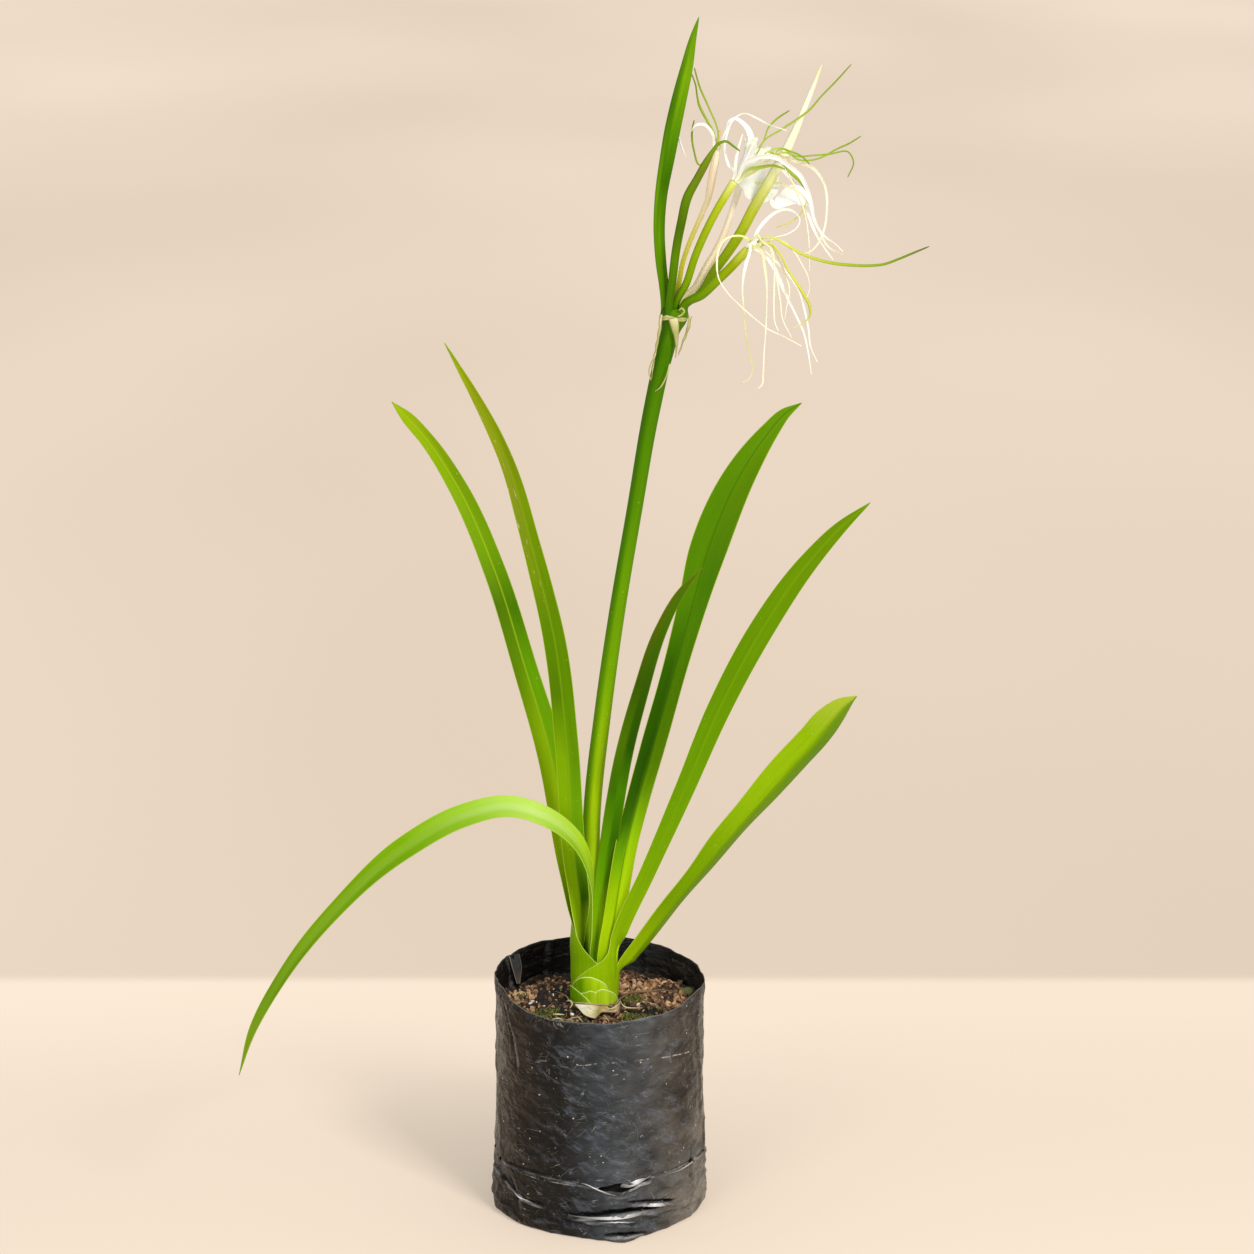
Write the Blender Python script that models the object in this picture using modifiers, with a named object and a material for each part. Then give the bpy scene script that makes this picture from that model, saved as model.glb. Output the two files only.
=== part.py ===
"""Potted spider lily: a bulb plant in a soft black grow bag.

Metres, +Z up.  The origin is the centre of the bag's base, X runs to the right and Y away from
the front.  Every separate piece is one object.  Tables of points are in millimetres, for reading,
and pass through MM.
"""

import math

import bmesh
import bpy
import numpy as np
from mathutils import Vector

MM = 0.001

# Driving dimensions
GAP = 0.3 * MM
BAG_RADIUS = 81.0 * MM
BAG_FILM = 0.5 * MM
BAG_BELLY = 1.4 * MM
BAG_CORNER = 4.0 * MM
BAG_BASE_INSET = 2.5 * MM
WALL_HEIGHTS = (150.0, 120.0, 90.0, 65.0, 45.0, 30.0, 16.0)
EAR_HEIGHT = 26.0 * MM
BASE_EARS = (  # corners of the base seam: direction and spread in degrees, reach in millimetres
    (281.0, 17.0, 11.0), (101.0, 17.0, 6.0), (196.0, 30.0, 3.5), (0.0, 30.0, 1.5))
RIM_HEIGHT = 182.0 * MM
RIM_SLOPE = 6.0 * MM
RIM_SIDE_LIFT = 3.0 * MM
RIM_DIP = 5.0 * MM
RIM_DIP_DIRECTION = 45.0
RIM_DIP_SPREAD = 25.0
DRAIN_HOLE_RADIUS = 2.4 * MM
DRAIN_HOLE_HEIGHT = 42.5 * MM
DRAIN_HOLES = {"hole_left": 180.0, "hole_left_front": 200.0, "hole_right": 0.0, "hole_back": 100.0}
SLIT_DIRECTION = 280.0
SLIT_STRETCH = 4.5
SOIL_HEIGHT = 166.0 * MM
SOIL_LUMP = 1.2 * MM
SOIL_FALL = 0.07  # fall of the soil toward the back
NECK_TOP = 196.0 * MM
SCAPE_TOP = 705.0 * MM
UMBEL_CENTRE = (57.0, 18.0)
UMBEL_RING = 7.3
FOOT_RADIUS = 2.9
BAG_SEGMENTS = 48
BLADE_STATIONS = 18
BLADE_COLUMNS = 5

# Colours, as seen in daylight (0 to 255)
LEAF_GREEN = (104, 153, 8)
LEAF_DARK = (70, 115, 4)
LEAF_BRIGHT = (137, 181, 12)
NECK_GREEN = (165, 200, 40)
PETAL_WHITE = (248, 249, 240)
FILAMENT_CREAM = (233, 232, 170)
FILAMENT_GREEN = (130, 160, 50)
WITHERED = (206, 196, 110)
PAPER = (205, 190, 150)
FILM_BLACK = (44, 45, 47)
SOIL_BROWN = (120, 92, 66)


# ---------------------------------------------------------------- scene and materials

def clear_scene():
    for thing in list(bpy.data.objects):
        bpy.data.objects.remove(thing, do_unlink=True)


def new_collection(name):
    collection = bpy.data.collections.new(name)
    bpy.context.scene.collection.children.link(collection)
    return collection


def linear(channel):
    value = channel / 255.0
    if value <= 0.04045:
        return value / 12.92
    return ((value + 0.055) / 1.055) ** 2.4


def give_material(thing, colour, roughness):
    material = bpy.data.materials.new(thing.name + "_finish")
    material.use_nodes = True
    shader = material.node_tree.nodes["Principled BSDF"]
    shader.inputs["Base Color"].default_value = (*[linear(c) for c in colour], 1.0)
    shader.inputs["Roughness"].default_value = roughness
    shader.inputs["Metallic"].default_value = 0.0
    thing.data.materials.append(material)


def add_object(name, data, collection, colour=None, roughness=0.5):
    thing = bpy.data.objects.new(name, data)
    collection.objects.link(thing)
    if colour is not None:
        give_material(thing, colour, roughness)
    return thing


def add_mesh(name, grid, collection, colour=None, roughness=0.5, smooth_angle=40.0):
    bmesh.ops.recalc_face_normals(grid, faces=grid.faces)
    mesh = bpy.data.meshes.new(name)
    grid.to_mesh(mesh)
    grid.free()
    mesh.shade_smooth()
    mesh.set_sharp_from_angle(angle=math.radians(smooth_angle))
    return add_object(name, mesh, collection, colour, roughness)


# ---------------------------------------------------------------- lines and sections

def smooth_rows(rows, count):
    """Even samples of a smooth curve through rows of numbers; the first three are x, y, z."""
    table = np.array(rows, dtype=float)
    steps = np.linalg.norm(np.diff(table[:, :3], axis=0), axis=1)
    along = np.concatenate([[0.0], np.cumsum(steps)])
    slopes = np.gradient(table, along, axis=0)
    samples = []
    for place in np.linspace(0.0, along[-1], count):
        k = min(int(np.searchsorted(along, place, side="right")) - 1, len(along) - 2)
        span = along[k + 1] - along[k]
        t = (place - along[k]) / span
        samples.append(
            (2 * t**3 - 3 * t**2 + 1) * table[k]
            + (t**3 - 2 * t**2 + t) * span * slopes[k]
            + (3 * t**2 - 2 * t**3) * table[k + 1]
            + (t**3 - t**2) * span * slopes[k + 1]
        )
    return np.array(samples)


def blade_frame(tangent, turn):
    """Width and face directions of a blade: turn 0 faces the front, 90 faces right if upright."""
    front = Vector((0.0, -1.0, 0.0))
    face = (front - tangent * front.dot(tangent)).normalized()
    side = tangent.cross(face)
    angle = math.radians(turn)
    face = face * math.cos(angle) + side * math.sin(angle)
    return tangent.cross(face), face


def blade_section(grid, centre, across, face, width, thickness, fold, columns):
    """One closed ring: the upper skin from edge to edge, then the lower skin back."""
    upper = []
    lower = []
    for u in np.linspace(-1.0, 1.0, columns):
        middle = centre + across * (u * width / 2) + face * (fold * abs(u) ** 1.4 * width / 2)
        half = face * (thickness * (1.0 - 0.65 * u * u) / 2)
        upper.append(middle + half)
        lower.append(middle - half)
    return [grid.verts.new(point) for point in upper + lower[::-1]]


def level_section(section, centre, tangent):
    """Slide a section's points along the blade until all lie at the height of its centre."""
    for vertex in section:
        vertex.co -= tangent * ((vertex.co.z - centre.z) / tangent.z)


def cap_section(grid, section):
    half = len(section) // 2
    for k in range(half - 1):
        grid.faces.new((section[k], section[k + 1], section[-2 - k], section[-1 - k]))


def add_blade(name, rows, collection, colour, roughness=0.45, thickness=1.5, fold=(0.2, 0.2),
              columns=BLADE_COLUMNS, stations=BLADE_STATIONS, level=False):
    """A leaf or petal: rows of x, y, z, width (mm) and turn (degrees) from base to tip.

    The fold is how far the edges stand forward of the midrib, at the base and at the tip.
    """
    samples = smooth_rows(rows, stations)
    centres = [Vector(row[:3] * MM) for row in samples]
    grid = bmesh.new()
    sections = []
    for k, centre in enumerate(centres):
        tangent = (centres[min(k + 1, stations - 1)] - centres[max(k - 1, 0)]).normalized()
        across, face = blade_frame(tangent, samples[k][4])
        width = max(samples[k][3], 0.8) * MM
        depth = min(thickness * MM, width * 0.6)
        bend = fold[0] + (fold[1] - fold[0]) * k / (stations - 1)
        section = blade_section(grid, centre, across, face, width, depth, bend, columns)
        if level and k == 0:
            level_section(section, centre, tangent)
        sections.append(section)
    for low, high in zip(sections, sections[1:]):
        for k in range(len(low)):
            j = (k + 1) % len(low)
            grid.faces.new((low[k], low[j], high[j], high[k]))
    cap_section(grid, sections[0])
    cap_section(grid, sections[-1])
    return add_mesh(name, grid, collection, colour, roughness)


def add_stalk(name, rows, collection, colour, roughness=0.5, stations=12, sides=2, foot=(), top=()):
    """A round stalk: a bevelled curve through rows of x, y, z and radius (mm).

    The rows of foot and top are kept as they are, so that an end can be cut level.
    """
    samples = [*foot, *smooth_rows(rows, stations), *top]
    curve = bpy.data.curves.new(name, "CURVE")
    curve.dimensions = "3D"
    curve.bevel_depth = MM
    curve.bevel_resolution = sides
    curve.use_fill_caps = True
    spline = curve.splines.new("POLY")
    spline.points.add(len(samples) - 1)
    for point, row in zip(spline.points, samples):
        point.co = (*[c * MM for c in row[:3]], 1.0)
        point.radius = max(row[3], 0.25)
    return add_object(name, curve, collection, colour, roughness)


def add_rings(name, rings, segments, collection, colour=None, roughness=0.6, grow=0.0):
    """A closed loft of level ellipses: rows of x, y, z and the two radii (mm)."""
    grid = bmesh.new()
    loops = []
    for x, y, z, wide, deep in rings:
        loop = []
        for k in range(segments):
            angle = 2 * math.pi * k / segments
            east = x + (wide + grow) * math.cos(angle)
            north = y + (deep + grow) * math.sin(angle)
            loop.append(grid.verts.new((east * MM, north * MM, z * MM)))
        loops.append(loop)
    for low, high in zip(loops, loops[1:]):
        for k in range(segments):
            j = (k + 1) % segments
            grid.faces.new((low[k], low[j], high[j], high[k]))
    grid.faces.new(loops[0][::-1])
    grid.faces.new(loops[-1])
    return add_mesh(name, grid, collection, colour, roughness)


def cut(thing, cutter):
    cutter.hide_render = True
    cutter.display_type = "WIRE"
    boolean = thing.modifiers.new("cut_" + cutter.name, "BOOLEAN")
    boolean.operation = "DIFFERENCE"
    boolean.solver = "EXACT"
    boolean.object = cutter


# ---------------------------------------------------------------- bag and soil

def rim_height(angle):
    """Height of the cut edge: higher behind, dipping at the back right, with small waves."""
    wave = (0.8 * math.sin(5 * angle + 0.6) + 0.5 * math.sin(9 * angle)) * MM
    away = (math.degrees(angle) - RIM_DIP_DIRECTION) / RIM_DIP_SPREAD
    slope = RIM_SLOPE * math.sin(angle) + RIM_SIDE_LIFT * math.cos(angle) ** 2
    return RIM_HEIGHT + slope + wave - RIM_DIP * math.exp(-away * away)


def wall_radius(angle, height):
    """The bag's outer radius: a slight belly, and the ears of the base seam pushed out low down."""
    radius = BAG_RADIUS + BAG_BELLY * math.exp(-((height - 45.0 * MM) / (45.0 * MM)) ** 2)
    for middle, spread, reach in BASE_EARS:
        away = ((math.degrees(angle) - middle + 180.0) % 360.0 - 180.0) / spread
        radius += reach * MM * math.exp(-away * away - (height / EAR_HEIGHT) ** 2)
    return radius


def bag_outline(angle, rim):
    """Radius and height down the bag's side and in across its base, for one direction."""
    heights = [rim] + [height * MM for height in WALL_HEIGHTS]
    outline = [(wall_radius(angle, height), height) for height in heights]
    side = wall_radius(angle, BAG_CORNER)
    for step in range(4):
        bend = math.radians(30.0 * step)
        inset = BAG_BASE_INSET * (1.0 - math.cos(bend))
        outline.append((side - inset, BAG_CORNER * (1.0 - math.sin(bend))))
    outline.append((BAG_RADIUS * 0.5, 0.0))
    return outline


def outline_loops(grid, inset, tops):
    """Rings of vertices for the bag's outline drawn in by inset, from the top down."""
    loops = []
    for k in range(BAG_SEGMENTS):
        angle = 2 * math.pi * k / BAG_SEGMENTS
        column = []
        for radius, height in bag_outline(angle, tops(angle)):
            out = radius - inset
            column.append(grid.verts.new((out * math.cos(angle), out * math.sin(angle), height)))
        loops.append(column)
    return loops


def skin_columns(grid, columns):
    """Join neighbouring columns of vertices and close the base on a centre vertex."""
    centre = grid.verts.new((0.0, 0.0, columns[0][-1].co.z))
    for k, column in enumerate(columns):
        beside = columns[(k + 1) % len(columns)]
        for upper in range(len(column) - 1):
            grid.faces.new((column[upper], column[upper + 1], beside[upper + 1], beside[upper]))
        grid.faces.new((column[-1], centre, beside[-1]))


def drain_hole(name, degrees, collection, stretch=1.0):
    """A cutter that passes through the wall in this direction, wider than high by stretch."""
    bpy.ops.mesh.primitive_cylinder_add(vertices=12, radius=DRAIN_HOLE_RADIUS, depth=16.0 * MM)
    cutter = bpy.context.object
    for vertex in cutter.data.vertices:
        vertex.co.x *= stretch
    cutter.name = name
    for owner in list(cutter.users_collection):
        owner.objects.unlink(cutter)
    collection.objects.link(cutter)
    angle = math.radians(degrees)
    radius = wall_radius(angle, DRAIN_HOLE_HEIGHT)
    cutter.location = (radius * math.cos(angle), radius * math.sin(angle), DRAIN_HOLE_HEIGHT)
    cutter.rotation_euler = (math.pi / 2, 0.0, angle + math.pi / 2)
    return cutter


def add_bag(parts, cutters):
    grid = bmesh.new()
    skin_columns(grid, outline_loops(grid, 0.0, rim_height))
    bag = add_mesh("grow_bag", grid, parts, FILM_BLACK, 0.35)
    film = bag.modifiers.new("film", "SOLIDIFY")
    film.thickness = BAG_FILM
    film.offset = -1.0
    for name, degrees in DRAIN_HOLES.items():
        cut(bag, drain_hole(name, degrees, cutters))
    cut(bag, drain_hole("slit_front", SLIT_DIRECTION, cutters, stretch=SLIT_STRETCH))


def soil_top(x, y):
    """Height of the soil: lower at the back, with shallow lumps."""
    lumps = SOIL_LUMP * math.sin(x / (13.0 * MM)) * math.cos(y / (11.0 * MM))
    return SOIL_HEIGHT - SOIL_FALL * max(y, 0.0) + lumps


def bulb_rings(lift=0.0):
    """The bulb in the soil and the neck that stands out of it: x, y, z, two radii."""
    return [
        (0.0, 0.0, 100.0 - lift, 10.0, 10.0),
        (0.0, 0.0, 104.0, 20.0, 20.0),
        (0.0, 0.0, 114.0, 28.0, 27.0),
        (0.0, 0.0, 126.0, 30.0, 28.5),
        (-1.0, 0.0, 140.0, 26.0, 24.0),
        (-2.0, -1.0, 156.0, 21.5, 18.5),
        (-2.0, -1.0, 172.0, 20.0, 16.0),
        (-2.0, -1.0, 184.0, 20.5, 15.5),
        (-2.0, -1.0, NECK_TOP / MM + lift, 21.5, 15.5),
    ]


def add_soil(parts, cutters):
    """One closed body that fills the bag, with a pit in which the bulb stands."""
    inset = BAG_FILM + 2 * GAP
    grid = bmesh.new()
    columns = outline_loops(grid, inset, lambda angle: SOIL_HEIGHT)
    for column in columns:
        for vertex in column:
            vertex.co.z += inset * (1.0 - vertex.co.z / SOIL_HEIGHT)
    skin_columns(grid, columns)
    inner = [column[0] for column in columns]
    for vertex in inner:
        vertex.co.z = soil_top(vertex.co.x, vertex.co.y)
    for share in (0.72, 0.5):
        ring = []
        for vertex in (column[0] for column in columns):
            x = vertex.co.x * share
            y = vertex.co.y * share
            ring.append(grid.verts.new((x, y, soil_top(x, y))))
        for k in range(len(ring)):
            j = (k + 1) % len(ring)
            grid.faces.new((inner[k], inner[j], ring[j], ring[k]))
        inner = ring
    centre = grid.verts.new((0.0, 0.0, SOIL_HEIGHT))
    for k in range(len(inner)):
        grid.faces.new((inner[k], inner[(k + 1) % len(inner)], centre))
    soil = add_mesh("potting_soil", grid, parts, SOIL_BROWN, 0.95)
    pit = add_rings("bulb_pit", bulb_rings(lift=GAP / MM), 24, cutters, grow=1.6 * GAP / MM)
    cut(soil, pit)


# ---------------------------------------------------------------- leaves
# Rows of x, y, z, width and turn, from the neck to the tip.

LEAVES = {
    "leaf_left_outer": dict(colour=LEAF_GREEN, fold=(0.30, 0.30), rows=[
        (-20.0, 1.0, 196.3, 13.0, 88), (-19.0, 4.0, 214.0, 14.0, 75), (-21.0, 10.0, 245.0, 17.0, 40),
        (-25.0, 15.0, 277.0, 18.5, 16), (-39.0, 26.0, 362.0, 20.5, 8), (-57.0, 39.0, 422.0, 18.5, 6),
        (-81.0, 56.0, 497.0, 17.0, 6), (-108.5, 74.0, 557.0, 14.5, 8), (-134.0, 87.0, 594.0, 11.0, 10),
        (-150.0, 93.0, 611.0, 8.5, 10), (-161.0, 98.0, 621.0, 1.2, 10)]),
    "leaf_left_inner": dict(colour=LEAF_DARK, fold=(0.16, 0.16), rows=[
        (-15.5, -2.0, 196.3, 12.0, 88), (-15.0, -3.0, 214.0, 13.0, 66), (-15.5, -3.5, 245.0, 16.0, 30),
        (-19.0, -5.0, 280.0, 17.5, 10), (-25.0, -9.0, 379.0, 18.0, 2), (-32.0, -16.0, 452.0, 17.0, 0),
        (-49.0, -27.0, 533.0, 14.0, -2), (-70.5, -40.0, 612.0, 10.5, -4), (-89.5, -49.0, 654.0, 7.0, -4),
        (-111.5, -58.0, 696.0, 1.0, -4)]),
    "leaf_arching": dict(colour=LEAF_BRIGHT, fold=(0.22, 0.22), rows=[
        (-9.5, -10.5, 196.3, 8.0, 80), (-7.0, -16.5, 227.0, 12.5, 88), (-7.0, -21.0, 270.0, 16.5, 84),
        (-18.0, -28.0, 304.0, 17.5, 62), (-41.0, -38.0, 327.0, 17.7, 50), (-67.0, -46.0, 337.5, 17.7, 44),
        (-103.0, -56.0, 333.0, 19.5, 40), (-147.0, -66.0, 310.5, 18.5, 38),
        (-199.0, -78.0, 265.5, 12.5, 34), (-236.0, -86.0, 220.0, 10.0, 30),
        (-262.0, -90.0, 174.0, 6.0, 26), (-273.0, -92.0, 139.0, 1.0, 22)]),
    "leaf_short": dict(colour=LEAF_DARK, fold=(0.25, 0.25), rows=[
        (-1.0, -6.5, 196.3, 10.0, 0), (1.0, -6.0, 232.0, 13.5, 0), (8.0, -8.0, 298.0, 14.0, 0),
        (18.0, -12.0, 364.0, 13.5, 0), (32.0, -16.0, 421.0, 12.0, 0), (47.0, -21.0, 470.0, 9.5, 0),
        (62.0, -24.0, 500.0, 6.0, 0), (78.0, -28.0, 520.0, 1.0, 0)]),
    "leaf_tall_right": dict(colour=LEAF_GREEN, fold=(0.28, 0.28), rows=[
        (8.0, 4.5, 196.3, 11.0, -50), (10.5, 7.0, 229.0, 15.0, -35), (21.0, 14.0, 292.0, 17.5, -22),
        (41.0, 24.0, 362.0, 19.0, -14), (62.5, 36.0, 439.0, 19.5, -10), (73.0, 43.0, 477.0, 23.0, -8),
        (84.0, 50.0, 515.0, 28.5, -8), (111.0, 64.0, 575.0, 23.0, -8), (131.5, 75.0, 603.0, 14.0, -8),
        (142.5, 80.0, 615.0, 9.0, -8), (156.0, 84.0, 623.0, 1.2, -8)]),
    "leaf_right_middle": dict(colour=LEAF_GREEN, fold=(0.16, 0.16), rows=[
        (9.0, -9.5, 196.3, 10.5, 190), (14.0, -12.0, 218.0, 11.5, 186), (38.0, -23.0, 279.0, 12.3, 182),
        (65.0, -36.0, 348.0, 15.0, 180), (90.0, -50.0, 415.0, 17.8, 178), (121.0, -64.0, 481.0, 18.5, 176),
        (156.0, -78.0, 538.0, 14.0, 176), (177.5, -87.0, 565.0, 9.0, 176),
        (198.0, -94.0, 585.0, 1.2, 176)]),
    "leaf_right_low": dict(colour=LEAF_BRIGHT, fold=(0.85, 0.38), rows=[
        (19.0, 2.0, 196.3, 9.0, -100), (28.0, 6.0, 201.0, 16.0, -115), (40.0, 8.0, 211.0, 19.0, -124),
        (57.0, 11.0, 231.5, 19.5, -130), (77.0, 14.0, 254.5, 23.0, -130), (96.0, 17.0, 277.5, 26.0, -131),
        (115.5, 20.0, 300.5, 28.0, -136), (135.0, 23.0, 326.5, 31.0, -148), (154.0, 25.0, 351.0, 31.0, -150),
        (167.5, 27.0, 366.5, 30.5, -150), (180.0, 28.5, 382.5, 27.0, -150), (190.5, 30.0, 395.0, 16.0, -150),
        (199.0, 31.0, 403.0, 1.6, -150)]),
}


def add_leaves(parts):
    for name, leaf in LEAVES.items():
        add_blade(name, leaf["rows"], parts, leaf["colour"], fold=leaf["fold"], level=True)


# ---------------------------------------------------------------- scape, spathe and flowers

# Each stalk of the umbel: the direction of its foot on the ring, then rows of x, y, z, radius.
UMBEL = {
    "tall_bud": dict(foot=180, colour=LEAF_DARK, rows=[
        (49.0, 16.0, 724.0, 3.6), (46.7, 16.0, 743.5, 4.1), (45.3, 17.0, 766.0, 4.3),
        (46.6, 19.0, 792.0, 4.7), (51.0, 21.0, 819.0, 5.6), (54.7, 23.0, 839.0, 6.0),
        (59.8, 25.0, 862.5, 5.7), (65.6, 27.0, 887.0, 4.6), (70.0, 29.0, 907.5, 2.6),
        (74.3, 30.0, 923.0, 0.4)]),
    "bent_bud": dict(foot=235, colour=FILAMENT_GREEN, rows=[
        (55.5, 5.0, 735.0, 3.6), (57.7, 2.0, 754.5, 3.9), (62.0, -1.0, 776.0, 4.1),
        (66.3, -4.0, 795.0, 4.0), (72.0, -6.0, 807.5, 3.6), (79.3, -8.0, 820.5, 2.9),
        (84.3, -10.0, 829.5, 1.6), (88.6, -11.0, 835.0, 1.1), (93.7, -11.0, 836.5, 0.9),
        (99.0, -10.0, 833.0, 0.8), (104.0, -9.0, 829.0, 0.6)]),
    "left_flower_tube": dict(foot=123, colour=WITHERED, rows=[
        (60.2, 28.0, 725.0, 2.2), (62.6, 31.0, 738.0, 2.2), (67.8, 34.0, 754.0, 2.2),
        (75.6, 37.0, 772.0, 2.2), (82.7, 40.0, 789.5, 2.4), (85.7, 42.0, 804.0, 2.5),
        (89.0, 43.0, 823.0, 2.6)]),
    "upper_flower_tube": dict(foot=None, colour=LEAF_BRIGHT, rows=[
        (65.3, 13.0, 729.0, 3.0), (70.0, 10.0, 749.0, 3.3), (77.7, 7.0, 767.5, 3.5),
        (85.3, 6.0, 785.0, 3.6), (95.2, 4.8, 797.5, 3.6), (101.0, 4.0, 806.0, 3.6)]),
    "back_flower_tube": dict(foot=65, colour=PAPER, rows=[
        (73.8, 28.0, 723.5, 3.0), (81.0, 32.0, 736.5, 3.1), (88.1, 36.0, 748.0, 3.0),
        (94.5, 40.0, 762.0, 2.4), (99.3, 42.0, 776.0, 2.1), (106.0, 44.0, 797.0, 2.6)]),
    "pale_bud": dict(foot=16, colour=FILAMENT_CREAM, rows=[
        (75.9, 19.0, 719.0, 3.4), (86.3, 20.0, 735.5, 3.9), (95.9, 21.0, 749.0, 4.3),
        (106.3, 22.0, 765.0, 4.5), (115.8, 23.0, 783.0, 4.6), (126.0, 24.0, 800.5, 4.5),
        (135.6, 25.0, 818.0, 4.2), (144.4, 27.0, 836.0, 3.3), (151.6, 28.0, 853.5, 2.4),
        (158.1, 29.0, 869.5, 1.8), (165.3, 31.0, 888.0, 0.4)]),
    "lower_flower_tube": dict(foot=322, colour=LEAF_GREEN, rows=[
        (77.8, 2.0, 722.0, 3.5), (88.6, -7.0, 734.0, 3.4), (97.3, -13.0, 743.5, 3.3),
        (104.4, -17.0, 752.0, 3.4), (111.0, -20.0, 759.0, 3.5)]),
}


def foot_rows(direction):
    """The two lowest rows of an umbel stalk: it leaves the scape's flat top straight up."""
    x, y = UMBEL_CENTRE
    radius = 0.9 * FOOT_RADIUS
    if direction is not None:
        x += UMBEL_RING * math.cos(math.radians(direction))
        y += UMBEL_RING * math.sin(math.radians(direction))
        radius = FOOT_RADIUS
    z = (SCAPE_TOP + GAP) / MM
    return [(x, y, z, radius), (x, y, z + 3.0, radius)]


def add_scape(parts):
    base = NECK_TOP / MM + 0.3
    top = SCAPE_TOP / MM
    foot = [(-5.5, 7.5, base, 6.2), (-5.5, 7.5, base + 6.0, 6.4)]
    rows = [
        (-5.8, 8.0, 214.0, 6.6), (-6.0, 9.0, 245.0, 7.0), (-6.0, 10.0, 309.0, 6.9),
        (3.0, 12.0, 397.0, 6.6), (14.0, 14.0, 476.0, 6.2), (27.0, 16.0, 554.0, 6.0),
        (40.0, 17.0, 631.0, 6.4), (50.0, 18.0, 677.0, 7.0), (55.0, 18.0, 695.0, 7.6)]
    rim = [(*UMBEL_CENTRE, top - 3.0, 10.0), (*UMBEL_CENTRE, top, 10.2)]
    add_stalk("flower_scape", rows, parts, LEAF_GREEN, 0.45, stations=20, sides=4, foot=foot, top=rim)


def add_umbel(parts):
    for name, stalk in UMBEL.items():
        foot = foot_rows(stalk["foot"])
        x, y, z, radius = foot[-1]
        rows = [(x, y, z + 3.0, radius)] + stalk["rows"]
        add_stalk(name, rows, parts, stalk["colour"], stations=12, foot=foot)


def add_spathe(parts):
    """The dry bracts that hang at the top of the scape."""
    add_blade("spathe_bract_front", [
        (56.0, 6.9, 702.5, 9.0, 0), (57.0, 6.9, 694.0, 7.0, 0), (58.0, 8.0, 680.0, 1.2, 0)],
        parts, PAPER, 0.8, thickness=0.6, fold=(-0.3, -0.3), columns=3, stations=8)
    add_blade("spathe_bract_left", [
        (47.5, 9.3, 703.5, 5.0, -45), (46.2, 10.2, 690.0, 5.0, -45), (42.3, 11.2, 672.0, 3.0, -45),
        (40.0, 11.0, 657.0, 1.2, -45)],
        parts, PAPER, 0.8, thickness=0.6, fold=(-0.2, -0.2), columns=3, stations=10)
    add_blade("spathe_bract_right", [
        (68.4, 11.0, 703.0, 6.0, 50), (66.6, 9.4, 695.0, 4.6, 50), (61.8, 9.0, 683.0, 1.2, 45)],
        parts, PAPER, 0.8, thickness=0.6, fold=(-0.2, -0.2), columns=3, stations=8)


# A mouth is where a flower opens on its tube: its place, its direction and the tube's radius there.
MOUTHS = {
    "left_flower": dict(place=(89.0, 43.0, 823.0), toward=(0.26, 0.1, 0.96)),
    "upper_flower": dict(place=(101.0, 4.0, 806.0), toward=(0.56, -0.08, 0.82)),
    "back_flower": dict(place=(106.0, 44.0, 797.0), toward=(0.42, 0.12, 0.9)),
    "lower_flower": dict(place=(111.0, -20.0, 759.0), toward=(0.72, -0.24, 0.62)),
}

# Each cup: its length, its radius at the foot and at the rim, in millimetres.
CUPS = {
    "upper_flower": (30.0, 1.2, 9.5),
    "back_flower": (30.0, 1.2, 11.0),
    "lower_flower": (9.0, 1.2, 3.6),
}


def mouth_frame(flower):
    place = Vector(MOUTHS[flower]["place"])
    axis = Vector(MOUTHS[flower]["toward"]).normalized()
    east = Vector((0.0, 1.0, 0.0)).cross(axis).normalized()
    north = axis.cross(east)
    return place, axis, east, north


def ring_point(flower, radius, angle, height):
    """A point around a flower's axis, in millimetres; angle 270 is the side toward the front."""
    place, axis, east, north = mouth_frame(flower)
    turn = math.radians(angle)
    return place + east * (radius * math.cos(turn)) + north * (radius * math.sin(turn)) + axis * height


def add_cup(flower, parts):
    """The thin funnel that joins the feet of the stamens: a turned profile given a thickness."""
    length, foot, rim = CUPS[flower]
    place, axis, east, north = mouth_frame(flower)
    grid = bmesh.new()
    profile = [(rim, length), (rim * 0.72, length * 0.75), (rim * 0.45, length * 0.45),
               (foot * 1.3, length * 0.15), (foot, 0.0), (0.0, 0.0)]
    points = [grid.verts.new((x * MM, 0.0, z * MM)) for x, z in profile]
    for first, second in zip(points, points[1:]):
        grid.edges.new((first, second))
    mesh = bpy.data.meshes.new(flower + "_cup")
    grid.to_mesh(mesh)
    grid.free()
    cup = add_object(flower + "_cup", mesh, parts, PETAL_WHITE, 0.6)
    turned = cup.modifiers.new("turned", "SCREW")
    turned.steps = 12
    turned.render_steps = 12
    turned.use_merge_vertices = True
    turned.merge_threshold = 0.00005
    film = cup.modifiers.new("film", "SOLIDIFY")
    film.thickness = 0.4 * MM
    film.offset = 1.0
    cup.location = (place + axis * 0.7) * MM
    cup.rotation_euler = axis.to_track_quat("Z", "Y").to_euler()


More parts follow.
